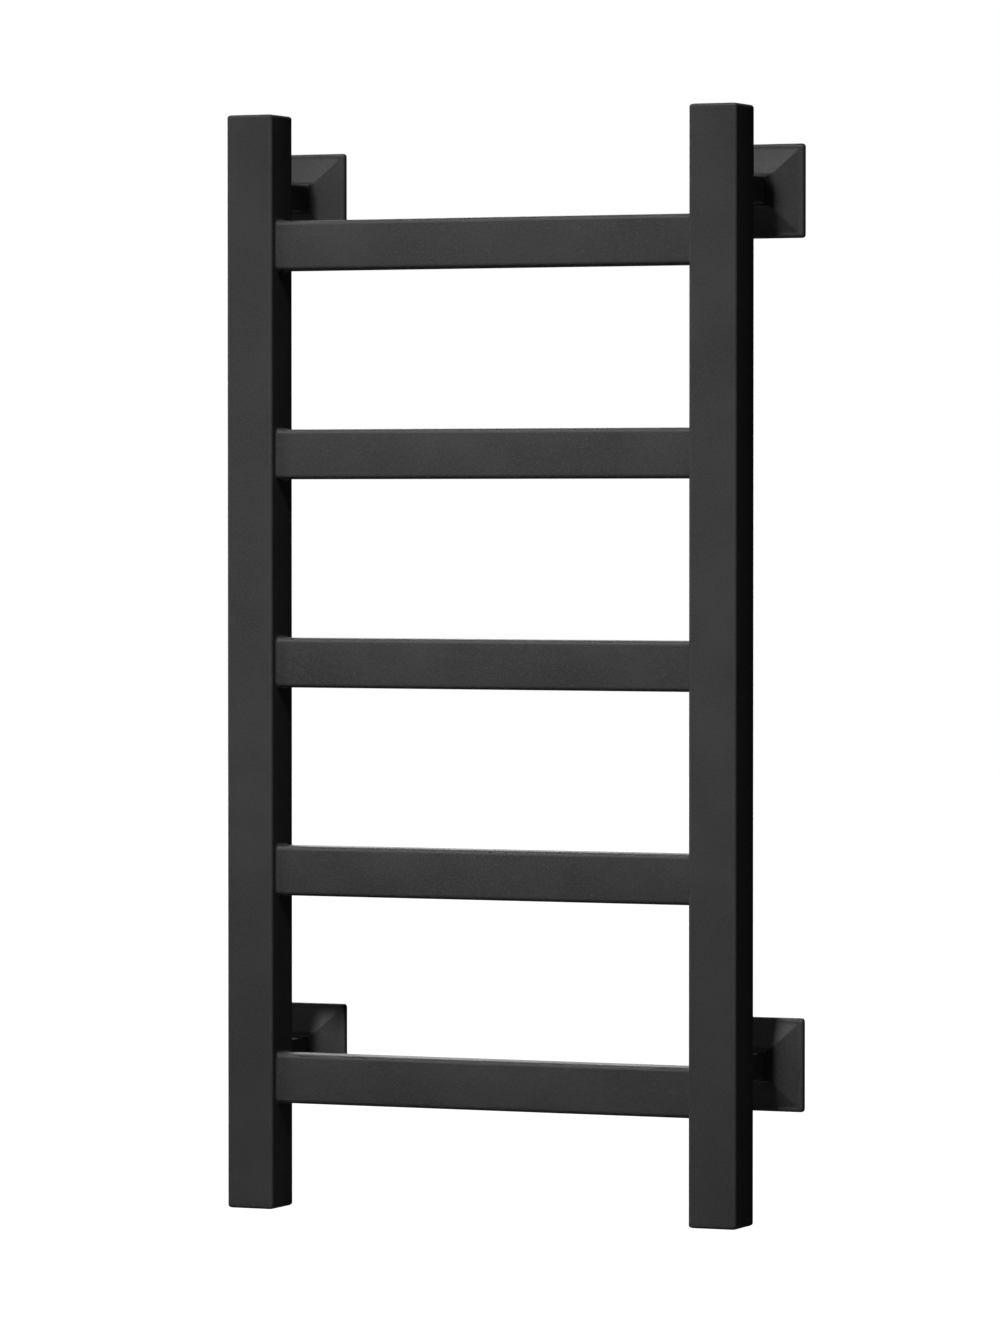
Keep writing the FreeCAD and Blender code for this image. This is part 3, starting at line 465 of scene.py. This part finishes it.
def build_coat_surface():
    """Powder coat: fine grain over a slow orange-peel wave, the patches that tone and gloss follow, and the
    grain's peaks as lighter specks of painted glint.
    """
    group, start, end = new_group(
        "coat_surface",
        [("Place", "Vector", None), ("Grain Scale", "Float", 1500.0), ("Peel Scale", "Float", 240.0),
         ("Patch Scale", "Float", 16.0)],
        [("Height", "Float"), ("Patches", "Float"), ("Specks", "Float")])
    grain = noise_node(group, start.outputs["Place"], start.outputs["Grain Scale"], detail=2.0)
    peel = noise_node(group, start.outputs["Place"], start.outputs["Peel Scale"], detail=1.0)
    patches = noise_node(group, start.outputs["Place"], start.outputs["Patch Scale"], detail=3.0,
                         roughness=0.55)
    height = math_node(group, "ADD", math_node(group, "MULTIPLY", grain, GRAIN_WEIGHT),
                       math_node(group, "MULTIPLY", peel, PEEL_WEIGHT))
    group.links.new(height, end.inputs["Height"])
    group.links.new(spread(group, patches, *PATCH_RANGE), end.inputs["Patches"])
    group.links.new(spread(group, grain, *GLINT_SPECK_RANGE), end.inputs["Specks"])
    return group


def build_edge_thinning():
    """How thin the coat is: the marked rounded edges, broken up a little along their length."""
    group, start, end = new_group("edge_thinning", [("Place", "Vector", None), ("Break Up", "Float", 0.35)],
                                  [("Mask", "Float")])
    mark_node = add_node(group, "Attribute", attribute_name=CORNER_MARK, attribute_type="GEOMETRY")
    noise = noise_node(group, start.outputs["Place"], scale=90.0, detail=2.0)
    broken = spread(group, noise, *SOFT_RANGE)
    loss = math_node(group, "MULTIPLY", broken, start.outputs["Break Up"])
    kept = math_node(group, "SUBTRACT", 1.0, loss)
    group.links.new(math_node(group, "MULTIPLY", mark_node.outputs["Fac"], kept), end.inputs["Mask"])
    return group


def build_mottle():
    """Two colours mixed in soft patches, with a roughness and a height that follow them."""
    group, start, end = new_group(
        "mottle",
        [("Place", "Vector", None), ("Scale", "Float", 120.0), ("First", "Color", (0.5, 0.5, 0.5, 1)),
         ("Second", "Color", (0.4, 0.4, 0.4, 1)), ("Least Roughness", "Float", 0.4),
         ("Most Roughness", "Float", 0.6)],
        [("Color", "Color"), ("Roughness", "Float"), ("Height", "Float")])
    patches = noise_node(group, start.outputs["Place"], start.outputs["Scale"], detail=4.0, roughness=0.6)
    share = spread(group, patches, *SOFT_RANGE)
    group.links.new(mix_colours(group, share, start.outputs["First"], start.outputs["Second"]),
                    end.inputs["Color"])
    span = math_node(group, "SUBTRACT", start.outputs["Most Roughness"], start.outputs["Least Roughness"])
    rise = math_node(group, "MULTIPLY", share, span)
    rough = math_node(group, "ADD", start.outputs["Least Roughness"], rise)
    group.links.new(rough, end.inputs["Roughness"])
    group.links.new(patches, end.inputs["Height"])
    return group


def shared_group(name, builder):
    """The named group, built once."""
    return bpy.data.node_groups.get(name) or builder()


def place_group(tree, group, place, **values):
    """Puts a group in a material, fed with the place and these values."""
    node = add_node(tree, "Group", node_tree=group)
    tree.links.new(place, node.inputs["Place"])
    for key, value in values.items():
        node.inputs[key.replace("_", " ")].default_value = value
    return node


# ---- materials ----

def new_material(name):
    """A material with its shader and a socket for object coordinates."""
    if name in bpy.data.materials:
        raise ValueError("the frame or this script already has a material named " + name)
    material = bpy.data.materials.new(name)
    material.use_nodes = True
    tree = material.node_tree
    tree.nodes.clear()
    shader = add_node(tree, "BsdfPrincipled")
    output = add_node(tree, "OutputMaterial")
    tree.links.new(shader.outputs["BSDF"], output.inputs["Surface"])
    place = add_node(tree, "TexCoord").outputs["Object"]
    return material, tree, shader, place


def bump(tree, shader, height, strength, distance):
    """Feeds a height into the shader's normal."""
    node = add_node(tree, "Bump")
    node.inputs["Strength"].default_value = strength
    node.inputs["Distance"].default_value = distance
    tree.links.new(height, node.inputs["Height"])
    tree.links.new(node.outputs["Normal"], shader.inputs["Normal"])


def powder_coat(name, grain_scale, depth):
    """Matte black powder coat with grain, orange peel, greyer patches, lighter specks of painted glint and
    thin rounded edges.
    """
    finish = bpy.context.scene.rack_finishes
    material, tree, shader, place = new_material(name)
    coat = place_group(tree, shared_group("coat_surface", build_coat_surface), place, Grain_Scale=grain_scale)
    thin = place_group(tree, shared_group("edge_thinning", build_edge_thinning), place)
    toned = mix_colours(tree, coat.outputs["Patches"], tuple(finish.coat), tuple(finish.coat_light))
    # painted glints: lighter specks mixed into the coat's colour where the grain noise is high
    glint_speckled = mix_colours(tree, coat.outputs["Specks"], toned, tuple(finish.coat_glint_speck))
    edged = mix_colours(tree, thin.outputs["Mask"], glint_speckled, tuple(finish.coat_thin))
    tree.links.new(edged, shader.inputs["Base Color"])
    rough = spread(tree, coat.outputs["Patches"], 0.0, 1.0, finish.coat_roughness - ROUGHNESS_DOWN,
                   finish.coat_roughness + ROUGHNESS_UP)
    tree.links.new(rough, shader.inputs["Roughness"])
    shader.inputs["Specular IOR Level"].default_value = finish.coat_specular
    bump(tree, shader, coat.outputs["Height"], finish.coat_grain, depth)
    return material


def mottled(name, first, second, scale, roughness, metallic):
    """A material of one substance with soft variation in colour, gloss and height."""
    material, tree, shader, place = new_material(name)
    patch = place_group(tree, shared_group("mottle", build_mottle), place, Scale=scale, First=(*first, 1.0),
                        Second=(*second, 1.0), Least_Roughness=roughness[0], Most_Roughness=roughness[1])
    tree.links.new(patch.outputs["Color"], shader.inputs["Base Color"])
    tree.links.new(patch.outputs["Roughness"], shader.inputs["Roughness"])
    shader.inputs["Metallic"].default_value = metallic
    bump(tree, shader, patch.outputs["Height"], MOTTLE_STRENGTH, MOTTLE_DEPTH)
    return material


def darker(colour, share):
    """The same colour, darker."""
    return tuple(value * share for value in colour)


def tube_coat():
    """The coat on the welded frame."""
    return bpy.data.materials.get("frame_coat_finish") or powder_coat(
        "frame_coat_finish", grain_scale=1300.0, depth=0.18 * MM)


def cover_coat():
    """The slightly smoother coat on the covers."""
    return bpy.data.materials.get("cover_coat_finish") or powder_coat(
        "cover_coat_finish", grain_scale=1600.0, depth=0.12 * MM)


# ---- operators: one for each group of pieces ----

def make_tube(name, axis, node, radius):
    """A hollow tube that fills a CAD node's box, with its corners marked."""
    tubes = bpy.context.scene.rack_tubes
    centre, size = middle_of(node)
    number = "xyz".index(axis)
    across, up = [place for place in range(3) if place != number]
    middle = (centre[across], centre[up])
    width, height = size[across], size[up]
    ends = (centre[number] - size[number] / 2, centre[number] + size[number] / 2)
    piece = build_through(name, axis, middle, [(end, width, height) for end in ends], radius, "open",
                          tubes.corner_steps)
    apply_modifier(piece, "SOLIDIFY", thickness=tubes.wall, offset=-1.0, use_even_offset=True)
    mark_tube_corners(piece, axis, middle, width, height, radius)
    return piece


def cut(piece, cutters):
    """Takes the cutters' solids out of a piece."""
    choose(*cutters)
    if len(cutters) > 1:
        bpy.ops.object.join()
    cutter = bpy.context.object
    apply_modifier(piece, "BOOLEAN", operation="DIFFERENCE", object=cutter, solver="EXACT")
    bpy.data.objects.remove(cutter)


class RACK_OT_uprights(bpy.types.Operator):
    """Make the two uprights, with their cable slots and holes"""
    bl_idname = "rack.uprights"
    bl_label = "Uprights"

    def execute(self, context):
        tubes = context.scene.rack_tubes
        for side in SIDES:
            node = side + "_upright"
            piece = make_tube(node + "_tube", "z", node, tubes.upright_corner)
            centre, size = middle_of(node)
            inward = -math.copysign(1, centre.x)
            inner_x = centre.x + inward * size.x / 2
            cutters = []
            for rung in RUNGS:
                rung_centre, rung_size = middle_of(rung)
                slot_height = rung_size.z - 2 * tubes.wall
                reach = sorted((inner_x - inward * 2 * tubes.wall, inner_x + inward * tubes.wall))
                sections = [(x, tubes.slot_width, slot_height) for x in reach]
                cutters.append(build_through("cutter", "x", (centre.y, rung_centre.z), sections,
                                             ROUND_SHARE * tubes.slot_width, "solid", tubes.corner_steps))
            cutters.append(self.back_hole(centre, size, "bottom_cap_screws", None))
            if side == "right":
                cutters.append(self.back_hole(centre, size, "upright_grommet", tubes.supply_hole))
            cut(piece, cutters)
            smooth(piece)
            finish_piece(piece, node, "rack", tube_coat())
        return {"FINISHED"}

    def back_hole(self, centre, size, node, width):
        """The cutter for a round hole through an upright's back, at the height of the piece that fills it."""
        filler_centre, filler_size = middle_of(node)
        width = width or filler_size.z
        back_y = centre.y + size.y / 2
        sections = [(y, width, width) for y in (back_y - HOLE_REACH, back_y + HOLE_REACH)]
        return build_through("cutter", "y", (centre.x, filler_centre.z), sections, ROUND_SHARE * width,
                             "solid", HOLE_STEPS)


class RACK_OT_rungs(bpy.types.Operator):
    """Make the five rungs"""
    bl_idname = "rack.rungs"
    bl_label = "Rungs"

    def execute(self, context):
        tubes = context.scene.rack_tubes
        first = make_tube(RUNGS[0] + "_tube", "x", RUNGS[0], tubes.rung_corner)
        smooth(first)
        pieces = [first]
        for node in RUNGS[1:]:
            drop = middle_of(node)[0] - middle_of(RUNGS[0])[0]
            pieces.append(copy_piece(first, node + "_tube", drop))
        for piece, node in zip(pieces, RUNGS):
            finish_piece(piece, node, "rack", tube_coat())
        return {"FINISHED"}


def make_weld(name, axis, middle, seat, tip, width, height, radius):
    """A hollow-faced fillet weld round a bar, with low ripples, from the seat plane to the tip."""
    welds = bpy.context.scene.rack_welds
    leg = abs(tip - seat)
    sections = []
    for step in range(welds.steps + 1):
        angle = math.pi / 2 * step / welds.steps
        out = leg * (1 - math.sin(angle)) + WELD_TIP
        along = seat + (tip - seat) * (1 - math.cos(angle))
        sections.append((along, width + 2 * out, height + 2 * out))
    inside = (width - 2 * WELD_SINK, height - 2 * WELD_SINK)
    sections += [(tip, *inside), (seat, *inside), sections[0]]
    piece = build_through(name, axis, middle, sections, radius + leg, "ring",
                          bpy.context.scene.rack_tubes.corner_steps, welds.point_spacing)
    ripple(piece, axis, middle, seat, width, height)
    smooth(piece)
    return piece


def ripple(piece, axis, middle, seat, width, height):
    """Gives a weld's outer face low uneven ripples, away from its two toes."""
    welds = bpy.context.scene.rack_welds
    number = "xyz".index(axis)
    across, up = [place for place in range(3) if place != number]
    face = []
    for point in piece.data.vertices:
        out = max(abs(point.co[across] - middle[0]) - width / 2, abs(point.co[up] - middle[1]) - height / 2)
        if out > welds.toe and abs(point.co[number] - seat) > welds.toe:
            face.append(point.index)
    group = piece.vertex_groups.new(name="rippled")
    group.add(face, 1.0, "REPLACE")
    waves = bpy.data.textures.get("weld_ripples") or bpy.data.textures.new("weld_ripples", "CLOUDS")
    waves.noise_scale = welds.ripple_pitch
    apply_modifier(piece, "DISPLACE", texture=waves, texture_coords="LOCAL", mid_level=0.5,
                   strength=welds.ripple_height, vertex_group=group.name)
    piece.vertex_groups.clear()


def join_beads(beads, node):
    """Makes one finished piece of a CAD node's beads."""
    choose(*beads)
    bpy.ops.object.join()
    beads[0].name = node.replace("welds", "weld_beads")
    beads[0].data.name = beads[0].name
    finish_piece(beads[0], node, "rack", tube_coat())


class RACK_OT_rung_welds(bpy.types.Operator):
    """Make the fillet welds between the rungs and the uprights"""
    bl_idname = "rack.rung_welds"
    bl_label = "Rung welds"

    def execute(self, context):
        tubes = context.scene.rack_tubes
        right_low, right_high = (Vector(corner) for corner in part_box("right_rung_welds"))
        centre, size = middle_of(RUNGS[0])
        first = make_weld("weld", "x", (centre.y, centre.z), right_high.x, right_low.x, size.y, size.z,
                          tubes.rung_corner)
        for side in SIDES:
            beads = []
            for node in RUNGS:
                drop = middle_of(node)[0] - centre
                shift = Vector((0, 0, drop.z))
                if side == "left":
                    shift.y = 2 * centre.y
                beads.append(copy_piece(first, "weld_copy", shift, half_turn=side == "left"))
            join_beads(beads, side + "_rung_welds")
        bpy.data.objects.remove(first)
        return {"FINISHED"}


class RACK_OT_end_caps(bpy.types.Operator):
    """Make the four end caps, with rounded and faintly crowned plates"""
    bl_idname = "rack.end_caps"
    bl_label = "End caps"

    def execute(self, context):
        for end, outward in (("top", 1), ("bottom", -1)):
            first = self.make_cap(end, outward)
            centre = middle_of("left_%s_cap" % end)[0]
            shift = middle_of("right_%s_cap" % end)[0] - centre
            second = copy_piece(first, "right_%s_cap_plate" % end, shift)
            for side, piece in (("left", first), ("right", second)):
                finish_piece(piece, "%s_%s_cap" % (side, end), "rack", tube_coat())
        return {"FINISHED"}

    def make_cap(self, end, outward):
        """The left cap of one end: collar, plate, rounded edge and crown."""
        tubes = bpy.context.scene.rack_tubes
        node = "left_%s_cap" % end
        centre, size = middle_of(node)
        face = centre.z + outward * size.z / 2
        seat = face - outward * tubes.cap_plate
        width = size.x
        outer = width - 2 * (tubes.wall + tubes.collar_gap)
        inner = outer - 2 * tubes.collar_wall
        collar_end = face - outward * size.z
        rim = face - outward * tubes.cap_crown
        widths = [(seat, inner), (collar_end, inner), (collar_end, outer), (seat, outer), (seat, width)]
        for step in range(tubes.corner_steps + 1):
            angle = math.pi / 2 * step / tubes.corner_steps
            inset = tubes.cap_round * (1 - math.cos(angle))
            height = rim - outward * tubes.cap_round * (1 - math.sin(angle))
            widths.append((height, width - 2 * inset))
        flat = width - 2 * tubes.cap_round
        widths += [(rim + outward * tubes.cap_crown * (1 - share * share), flat * share)
                   for share in CROWN_SHARES]
        piece = build_through(node + "_plate", "z", (centre.x, centre.y),
                              [(along, side, side) for along, side in widths],
                              tubes.upright_corner * inner / width, "solid", tubes.corner_steps)
        self.mark_edge(piece, centre, face, outward)
        smooth(piece)
        return piece

    def mark_edge(self, piece, centre, face, outward):
        """Marks the rounded outer edge of a cap's plate."""
        tubes = bpy.context.scene.rack_tubes
        half = middle_of("left_top_cap")[1].x / 2
        def share(point):
            out = max(abs(point.x - centre.x), abs(point.y - centre.y)) - (half - tubes.cap_round)
            high = tubes.cap_round - outward * (face - point.z)
            if out <= LEVEL_WITHIN or high <= LEVEL_WITHIN:
                return 0.0
            return min(1.0, 2 * min(out, high) / tubes.cap_round)
        mark(piece, share)


class RACK_OT_posts(bpy.types.Operator):
    """Make the four square posts and their welds"""
    bl_idname = "rack.posts"
    bl_label = "Posts"

    def execute(self, context):
        tubes = context.scene.rack_tubes
        first_node = "post_%s_%s" % PLACES[0]
        first = make_tube(first_node + "_tube", "y", first_node, tubes.post_corner)
        smooth(first)
        centre, size = middle_of(first_node)
        low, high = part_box("post_welds")
        bead = make_weld("weld", "y", (centre.x, centre.z), low[1], high[1], size.x, size.z,
                         tubes.post_corner)
        beads = []
        for level, side in PLACES:
            node = "post_%s_%s" % (level, side)
            shift = middle_of(node)[0] - centre
            piece = first if node == first_node else copy_piece(first, node + "_tube", shift)
            beads.append(copy_piece(bead, "weld_copy", shift))
            finish_piece(piece, node, "rack", tube_coat())
        join_beads(beads, "post_welds")
        bpy.data.objects.remove(bead)
        return {"FINISHED"}


class RACK_OT_covers(bpy.types.Operator):
    """Make the four square flared covers, hollow behind, with mitred ridges"""
    bl_idname = "rack.covers"
    bl_label = "Wall covers"

    def execute(self, context):
        first_node = "cover_%s_%s" % PLACES[0]
        first = self.make_cover(first_node)
        for level, side in PLACES:
            node = "cover_%s_%s" % (level, side)
            shift = middle_of(node)[0] - middle_of(first_node)[0]
            piece = first if node == first_node else copy_piece(first, node + "_shell", shift)
            finish_piece(piece, node, "%s_%s_cover" % (level, side), cover_coat())
        return {"FINISHED"}

    def make_cover(self, node):
        """One cover: rear rim, rounded edge, hollow flare, mouth, ring groove and the hollows behind."""
        sizes = bpy.context.scene.rack_covers
        centre, size = middle_of(node)
        wall_y = centre.y + size.y / 2
        half = size.x / 2
        post = middle_of("post_%s_%s" % PLACES[0])[1].x / 2
        foot_size = middle_of("wall_foot_%s_%s" % PLACES[0])[1]
        ring_centre, ring_size = middle_of("grip_ring_%s_%s" % PLACES[0])
        foot_half = foot_size.x / 2 + sizes.pocket_gap
        hole = post + sizes.clearance
        mouth = hole + sizes.mouth_wall
        straight = sizes.rim - sizes.edge_round
        inner = half - sizes.edge_round
        profile = [(foot_half, 0.0), (half, 0.0)]
        for step in range(sizes.edge_steps + 1):
            angle = math.pi / 2 * step / sizes.edge_steps
            profile.append((inner + sizes.edge_round * math.cos(angle),
                            straight + sizes.edge_round * math.sin(angle)))
        profile += self.facet_profile(inner, mouth)
        depth = profile[-1][1]
        profile[-1] = (mouth, depth - sizes.lip)
        ring_back = wall_y - ring_centre.y - ring_size.y / 2
        ring_front = wall_y - ring_centre.y + ring_size.y / 2
        ring_half = ring_size.x / 2
        core_half = sizes.core_width / 2
        broken = LIP_SHARE * sizes.lip
        profile += [(mouth - broken, depth - broken), (mouth - sizes.lip, depth),
                    (hole, depth), (hole, ring_front), (ring_half, ring_front), (ring_half, ring_back),
                    (hole, ring_back), (hole, sizes.core_depth), (core_half, sizes.core_depth),
                    (core_half, sizes.pocket_depth), (foot_half, sizes.pocket_depth), (foot_half, 0.0)]
        sections = [(wall_y - place, 2 * radial, 2 * radial) for radial, place in profile]
        piece = build_through(node + "_shell", "y", (centre.x, centre.z), sections,
                              sizes.corner * foot_half / half, "ring", COVER_CORNER_STEPS)
        def share(point):
            out = max(abs(point.x - centre.x), abs(point.z - centre.z)) - inner
            front = (wall_y - point.y) - straight
            if out <= LEVEL_WITHIN or front <= LEVEL_WITHIN:
                return 0.0
            return min(1.0, 2 * min(out, front) / sizes.edge_round)
        mark(piece, share)
        smooth(piece)
        return piece

    def facet_profile(self, inner, mouth):
        """Half widths and depths from the rim to the mouth: a hollow bend, the flat middle, a hollow bend."""
        sizes = bpy.context.scene.rack_covers
        slope, points = sizes.slope, []
        for step in range(1, sizes.bend_steps + 1):
            angle = slope * step / sizes.bend_steps
            points.append((inner - sizes.rim_bend * math.sin(angle),
                           sizes.rim + sizes.rim_bend * (1 - math.cos(angle))))
        flat_end = mouth + sizes.root_bend * (1 - math.sin(slope))
        start, depth = points[-1]
        flat_depth = depth + (start - flat_end) * math.tan(slope)
        depth = flat_depth + sizes.root_bend * math.cos(slope)
        for step in range(sizes.bend_steps + 1):
            angle = slope + (math.pi / 2 - slope) * step / sizes.bend_steps
            points.append((mouth + sizes.root_bend * (1 - math.sin(angle)),
                           depth - sizes.root_bend * math.cos(angle)))
        return points


class RACK_OT_fittings(bpy.types.Operator):
    """Give the feet, screws, grommets, wiring and grip rings their finishes"""
    bl_idname = "rack.fittings"
    bl_label = "Fittings"

    def execute(self, context):
        finish = context.scene.rack_finishes
        looks = {}
        for slot, (first, second, scale, roughness, metallic) in FITTING_LOOKS.items():
            colour = tuple(getattr(finish, first))
            other = getattr(finish, second) if isinstance(second, str) else darker(colour, second)
            looks[slot] = mottled(slot + "_finish", colour, other, scale, roughness, metallic)
        slots = {part["node"]: part["material_slot"] for part in frame["record"]["subparts"]}
        for node, cad_object in frame["nodes"].items():
            if slots[node] in looks:
                cad_object.data.materials.clear()
                cad_object.data.materials.append(looks[slots[node]])
        return {"FINISHED"}


class RACK_OT_stage(bpy.types.Operator):
    """Set up the camera, the soft lights, the pale surround and the floor"""
    bl_idname = "rack.stage"
    bl_label = "Stage"

    def execute(self, context):
        stage = context.scene.rack_stage
        low, high = CAD_BOX
        upright = middle_of("left_upright")[0]
        middle = Vector((0.0, upright.y, (low.z + high.z) / 2))
        self.add_camera(context, stage, middle)
        self.add_lights(stage, middle)
        self.add_surround(context, stage)
        self.add_floor(stage, low.z - stage.floor_drop)
        context.scene.view_settings.view_transform = "Standard"
        return {"FINISHED"}

    def add_camera(self, context, stage, middle):
        """A long lens to the right of the front, just above the rack's middle."""
        turn, rise = stage.azimuth, stage.elevation
        back = Vector((math.sin(turn) * math.cos(rise), -math.cos(turn) * math.cos(rise), math.sin(rise)))
        right = Vector((math.cos(turn), math.sin(turn), 0.0))
        target = middle + right * stage.aim_right + Vector((0, 0, stage.aim_up))
        data = bpy.data.cameras.new("camera")
        data.lens = stage.lens
        data.sensor_width = SENSOR_WIDTH
        camera = bpy.data.objects.new("camera", data)
        camera.location = target + back * stage.distance
        camera.rotation_mode = "QUATERNION"
        camera.rotation_quaternion = (-back).to_track_quat("-Z", "Y")
        context.collection.objects.link(camera)
        context.scene.camera = camera

    def add_lights(self, stage, middle):
        """Soft area lights: the key from high in front, weak ones at the left and behind."""
        lights = {
            "key_light": (stage.key_power, stage.key_beam, stage.key_aim),
            "side_light": (stage.side_power, stage.beam, 0.0),
            "back_light": (stage.back_power, stage.beam, 0.0),
        }
        for name, (power, beam, aim) in lights.items():
            offset, width = LIGHT_PLACES[name]
            data = bpy.data.lights.new(name, "AREA")
            data.shape = "SQUARE"
            data.size = width
            data.energy = power
            data.spread = beam
            light = bpy.data.objects.new(name, data)
            light.location = middle + Vector(offset)
            light.rotation_mode = "QUATERNION"
            light.rotation_quaternion = (Vector((0, 0, aim)) - Vector(offset)).to_track_quat("-Z", "Y")
            light.visible_camera = False
            bpy.context.collection.objects.link(light)

    def add_surround(self, context, stage):
        """A white surround that gives only a little light."""
        world = bpy.data.worlds.new("surround")
        context.scene.world = world
        world.use_nodes = True
        tree = world.node_tree
        tree.nodes.clear()
        shade = add_node(tree, "Background")
        output = add_node(tree, "OutputWorld")
        path = add_node(tree, "LightPath")
        shade.inputs["Color"].default_value = (*stage.sky, 1.0)
        strength = spread(tree, path.outputs["Is Camera Ray"], 0.0, 1.0, stage.fill, 1.0)
        tree.links.new(strength, shade.inputs["Strength"])
        tree.links.new(shade.outputs["Background"], output.inputs["Surface"])

    def add_floor(self, stage, height):
        """A wide pale floor below the rack."""
        deselect()
        bpy.ops.mesh.primitive_plane_add(size=stage.floor_width, location=(0, 0, height))
        floor = bpy.context.object
        floor.name = "floor"
        bpy.ops.object.transform_apply(location=True, rotation=True, scale=True)
        floor.data.materials.append(self.floor_material(stage))

    def floor_material(self, stage):
        """Pale and matte, and whitened where the camera sees it, so that it meets the surround."""
        material, tree, shader, place = new_material("pale_floor")
        second = darker(stage.floor_colour, FLOOR_PATCH)
        patch = place_group(tree, shared_group("mottle", build_mottle), place, Scale=2.0,
                            First=(*stage.floor_colour, 1.0), Second=(*second, 1.0),
                            Least_Roughness=0.8, Most_Roughness=0.9)
        tree.links.new(patch.outputs["Color"], shader.inputs["Base Color"])
        tree.links.new(patch.outputs["Color"], shader.inputs["Emission Color"])
        tree.links.new(patch.outputs["Roughness"], shader.inputs["Roughness"])
        path = add_node(tree, "LightPath")
        glow = spread(tree, path.outputs["Is Camera Ray"], 0.0, 1.0, 0.0, stage.floor_glow)
        tree.links.new(glow, shader.inputs["Emission Strength"])
        return material


class RACK_PT_panel(bpy.types.Panel):
    """Lists the makers of the rack's pieces"""
    bl_label = "Towel Warmer"
    bl_idname = "RACK_PT_panel"
    bl_space_type = "VIEW_3D"
    bl_region_type = "UI"
    bl_category = "Towel Warmer"

    def draw(self, context):
        for operator in OPERATORS:
            self.layout.operator(operator.bl_idname)
        for name in SETTINGS:
            column = self.layout.column()
            settings = getattr(context.scene, name)
            for key in type(settings).__annotations__:
                column.prop(settings, key)


OPERATORS = (RACK_OT_uprights, RACK_OT_rungs, RACK_OT_rung_welds, RACK_OT_end_caps, RACK_OT_posts,
             RACK_OT_covers, RACK_OT_fittings, RACK_OT_stage)


def register():
    for kind in (*SETTINGS.values(), *OPERATORS, RACK_PT_panel):
        bpy.utils.register_class(kind)
    for name, kind in SETTINGS.items():
        setattr(bpy.types.Scene, name, bpy.props.PointerProperty(type=kind))


def unregister():
    for name in SETTINGS:
        delattr(bpy.types.Scene, name)
    for kind in (RACK_PT_panel, *reversed(OPERATORS), *reversed(SETTINGS.values())):
        bpy.utils.unregister_class(kind)


def main():
    """Makes every piece in order."""
    register()
    for operator in OPERATORS:
        group, name = operator.bl_idname.split(".")
        getattr(getattr(bpy.ops, group), name)()


if __name__ == "__main__":
    main()
